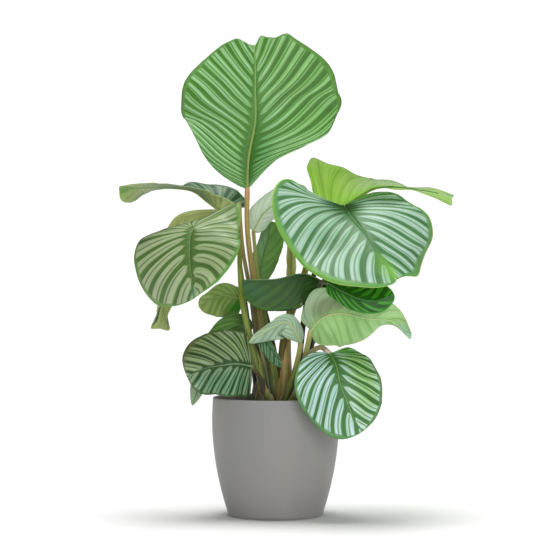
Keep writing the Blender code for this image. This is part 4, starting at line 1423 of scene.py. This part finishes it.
@dataclass
class Pot:
    """The plain round pot, turned on its axis."""

    finish: Finish
    height: float = 168.0
    radius: float = 90.3
    belly: float = 140.0
    foot_draw_in: float = 24.0
    rim_draw_in: float = 1.3
    wall: float = 4.0
    floor: float = 5.0
    corner: float = 7.0
    inner_corner: float = 8.0
    hollow: float = 1.2
    sides: int = 160

    def outer(self, z: float) -> float:
        """Give the outer radius at a height.

        Args:
            z: the height above the base.

        Returns:
            The radius.
        """
        if z < self.belly:
            return self.radius - self.foot_draw_in * (1 - z / self.belly) ** 2
        return self.radius - self.rim_draw_in * (z - self.belly) / (self.height - self.belly)

    def profile(self) -> Profile:
        """Lay out the wall from the floor inside, over the rim and down to the base.

        Returns:
            Points as radius and height.
        """
        lip = self.wall / 2
        top = self.height - lip
        levels = np.linspace(self.floor + self.inner_corner, top, 24)
        inside = [(self.outer(z) - self.wall, float(z)) for z in levels]
        outside = [(self.outer(z), float(z)) for z in np.linspace(top, self.corner, 30)]
        inner = inside[0][0]
        floor = [(0.0, self.floor), (inner - self.inner_corner, self.floor)]
        floor.append((inner - 2.5, self.floor + 2.5))
        foot = self.outer(self.corner) - self.corner
        base = [(foot - 4, 0.0), (foot - 7, self.hollow), (0.0, self.hollow)]
        rim = arc((self.outer(top) - lip, top), lip, 165, 15, 8)
        turn_in = arc((foot, self.corner), self.corner, -10, -90, 7)
        return [*floor, *inside, *rim, *outside, *turn_in, *base]

    def build(self) -> None:
        """Make the pot."""
        grey = self.finish.grains[Grains.MATTE_GREY]
        wear(turned("pot_wall", self.profile(), self.sides, grey), "grey_pot", "pot")


@dataclass(frozen=True)
class Litter:
    """Loose lumps of one kind on the mix: how many, of what size, and how flat they lie."""

    name: str
    grain: Grains
    count: int
    sizes: tuple[float, float]
    flatness: float


@dataclass
class PottingMix:
    """The mix that fills the pot, with crumbs, bark and perlite on top."""

    finish: Finish
    pot: Pot
    top: float = 147.0
    bottom: float = 60.0
    gap: float = 0.3
    levels: tuple[float, ...] = (130.0, 110.0, 85.0)
    sides: int = 120
    seed: int = 11
    litter: tuple[Litter, ...] = (
        Litter("mix_crumbs", Grains.DAMP_MIX, 340, (1.2, 3.4), 1.0),
        Litter("bark_chips", Grains.BARK, 90, (2.5, 5.5), 0.4),
        Litter("perlite_grains", Grains.PERLITE, 46, (1.2, 2.4), 0.9),
    )

    def radius(self, z: float) -> float:
        """Give the mix's radius at a height."""
        return self.pot.outer(z) - self.pot.wall - self.gap

    def build(self) -> None:
        """Make the mix and what lies on it."""
        profile = [(r, self.top) for r in np.linspace(0, self.radius(self.top), 40)]
        profile += [(self.radius(z), z) for z in (*self.levels, self.bottom)]
        profile.append((0.0, self.bottom))
        damp = self.finish.grains[Grains.DAMP_MIX]
        mix = turned("potting_mix", profile, self.sides, damp)
        for vertex in mix.data.vertices:
            if vertex.co.z > (self.top - 1) * MM:
                lumps = noise.noise(vertex.co * 60) * 2.4 + noise.noise(vertex.co * 210) * 1.3
                vertex.co.z += lumps * MM
        wear(mix, "potting_mix", "soil")
        rng = np.random.default_rng(self.seed)
        for litter in self.litter:
            wear(self.scatter(litter, rng), "potting_mix")

    def scatter(self, litter: Litter, rng: np.random.Generator) -> Object:
        """Strew lumps over the mix as one piece.

        Args:
            litter: the kind of lump.
            rng: the source of their places and shapes.

        Returns:
            The piece.
        """
        reach = self.radius(self.top) - 1.5
        lumps = bmesh.new()
        for _ in range(litter.count):
            size = rng.uniform(*litter.sizes)
            out = (reach - size) * math.sqrt(rng.uniform(0, 1))
            angle = rng.uniform(0, math.tau)
            lying = self.top + 0.4 * size * litter.flatness
            place = Vector((out * math.cos(angle), out * math.sin(angle), lying))
            made = bmesh.ops.create_icosphere(lumps, subdivisions=2, radius=1.0)["verts"]
            stretch = Vector((size, size * rng.uniform(0.5, 1.0), size * litter.flatness))
            turn = Matrix.Rotation(rng.uniform(0, math.tau), 3, "Z")
            shift = Vector(rng.uniform(-50, 50, 3))
            for vertex in made:
                bumpy = 1 + 0.35 * noise.noise(vertex.co * 1.3 + shift)
                vertex.co = (place + turn @ (vertex.co * bumpy * stretch)) * MM
        mesh = bpy.data.meshes.new(litter.name)
        lumps.to_mesh(mesh)
        lumps.free()
        mesh.shade_smooth()
        mesh.materials.append(self.finish.grains[litter.grain])
        return put(litter.name, mesh)


@dataclass
class Studio:
    """The pale floor, the soft light and the camera."""

    distance: float = 2.769
    eye_height: float = 0.348
    aside: float = 0.0021
    sensor: float = 36.0
    frame_side: int = 554
    pixels_per_unit: float = 1950.0
    horizon_row: float = 270.0
    floor_side: float = 60.0
    floor_grey: float = 0.88
    surround: float = 0.21
    seen_surround: float = 1.07
    suns: tuple[tuple[float, float, float, float], ...] = ((0, -4, 3.0, 34), (12, 80, 2.0, 50))

    def build(self) -> None:
        """Make the floor, the lights and the camera."""
        self.floor()
        self.light()
        self.camera()

    def floor(self) -> None:
        """Make the plain pale floor."""
        mesh = bpy.data.meshes.new("floor")
        half = self.floor_side / 2
        square = [(-half, -half, 0), (half, -half, 0), (half, half, 0), (-half, half, 0)]
        mesh.from_pydata(square, [], [(0, 1, 2, 3)])
        material = bpy.data.materials.new("pale_floor")
        material.use_nodes = True
        shader = material.node_tree.nodes["Principled BSDF"]
        shader.inputs["Base Color"].default_value = (*[self.floor_grey] * 3, 1.0)
        shader.inputs["Roughness"].default_value = 0.9
        shader.inputs["Specular IOR Level"].default_value = 0.1
        mesh.materials.append(material)
        floor = put("floor", mesh)

    def light(self) -> None:
        """Make an even white surround, brighter to the camera than it lights, and soft suns."""
        world = bpy.data.worlds.new("white_surround")
        world.use_nodes = True
        g = Graph(world.node_tree)
        background = world.node_tree.nodes["Background"]
        seen = Value(g, g.add("ShaderNodeLightPath").outputs["Is Camera Ray"])
        strength = seen * (self.seen_surround - self.surround) + self.surround
        g.feed(background.inputs["Strength"], strength)
        background.inputs["Color"].default_value = (1.0, 1.0, 1.0, 1.0)
        bpy.context.scene.world = world
        for number, (aside, tilt, strength, spread) in enumerate(self.suns):
            sun = bpy.data.lights.new(f"soft_sun_{number}", "SUN")
            sun.energy = strength
            sun.angle = math.radians(spread)
            put(sun.name, sun).rotation_euler = (math.radians(tilt), 0.0, math.radians(aside))
        bpy.context.scene.view_settings.view_transform = "Standard"

    def camera(self) -> None:
        """Place the camera level with the leaves, tipped by the photograph's slight angle."""
        data = bpy.data.cameras.new("camera")
        data.sensor_width = self.sensor
        data.lens = self.sensor * self.pixels_per_unit / self.frame_side
        data.clip_end = 100.0
        camera = put("camera", data)
        camera.location = (self.aside, -self.distance, self.eye_height)
        tip = math.atan((self.frame_side / 2 - self.horizon_row) / self.pixels_per_unit)
        camera.rotation_euler = (math.radians(90) - tip, 0.0, 0.0)
        bpy.context.scene.camera = camera


def corners(bounds: tuple[Vector, Vector]) -> list[list[float]]:
    """Give a box's two corners as plain lists."""
    return [list(bounds[0]), list(bounds[1])]


def main() -> None:
    """Load the solids, dress them and light them."""
    logging.basicConfig(level=logging.INFO, format="%(message)s")
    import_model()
    finish = Finish()
    pot = Pot(finish)
    pot.build()
    PottingMix(finish, pot).build()
    Plant(LEAVES, finish).build()
    Studio().build()
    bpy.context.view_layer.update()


if __name__ == "__main__":
    main()
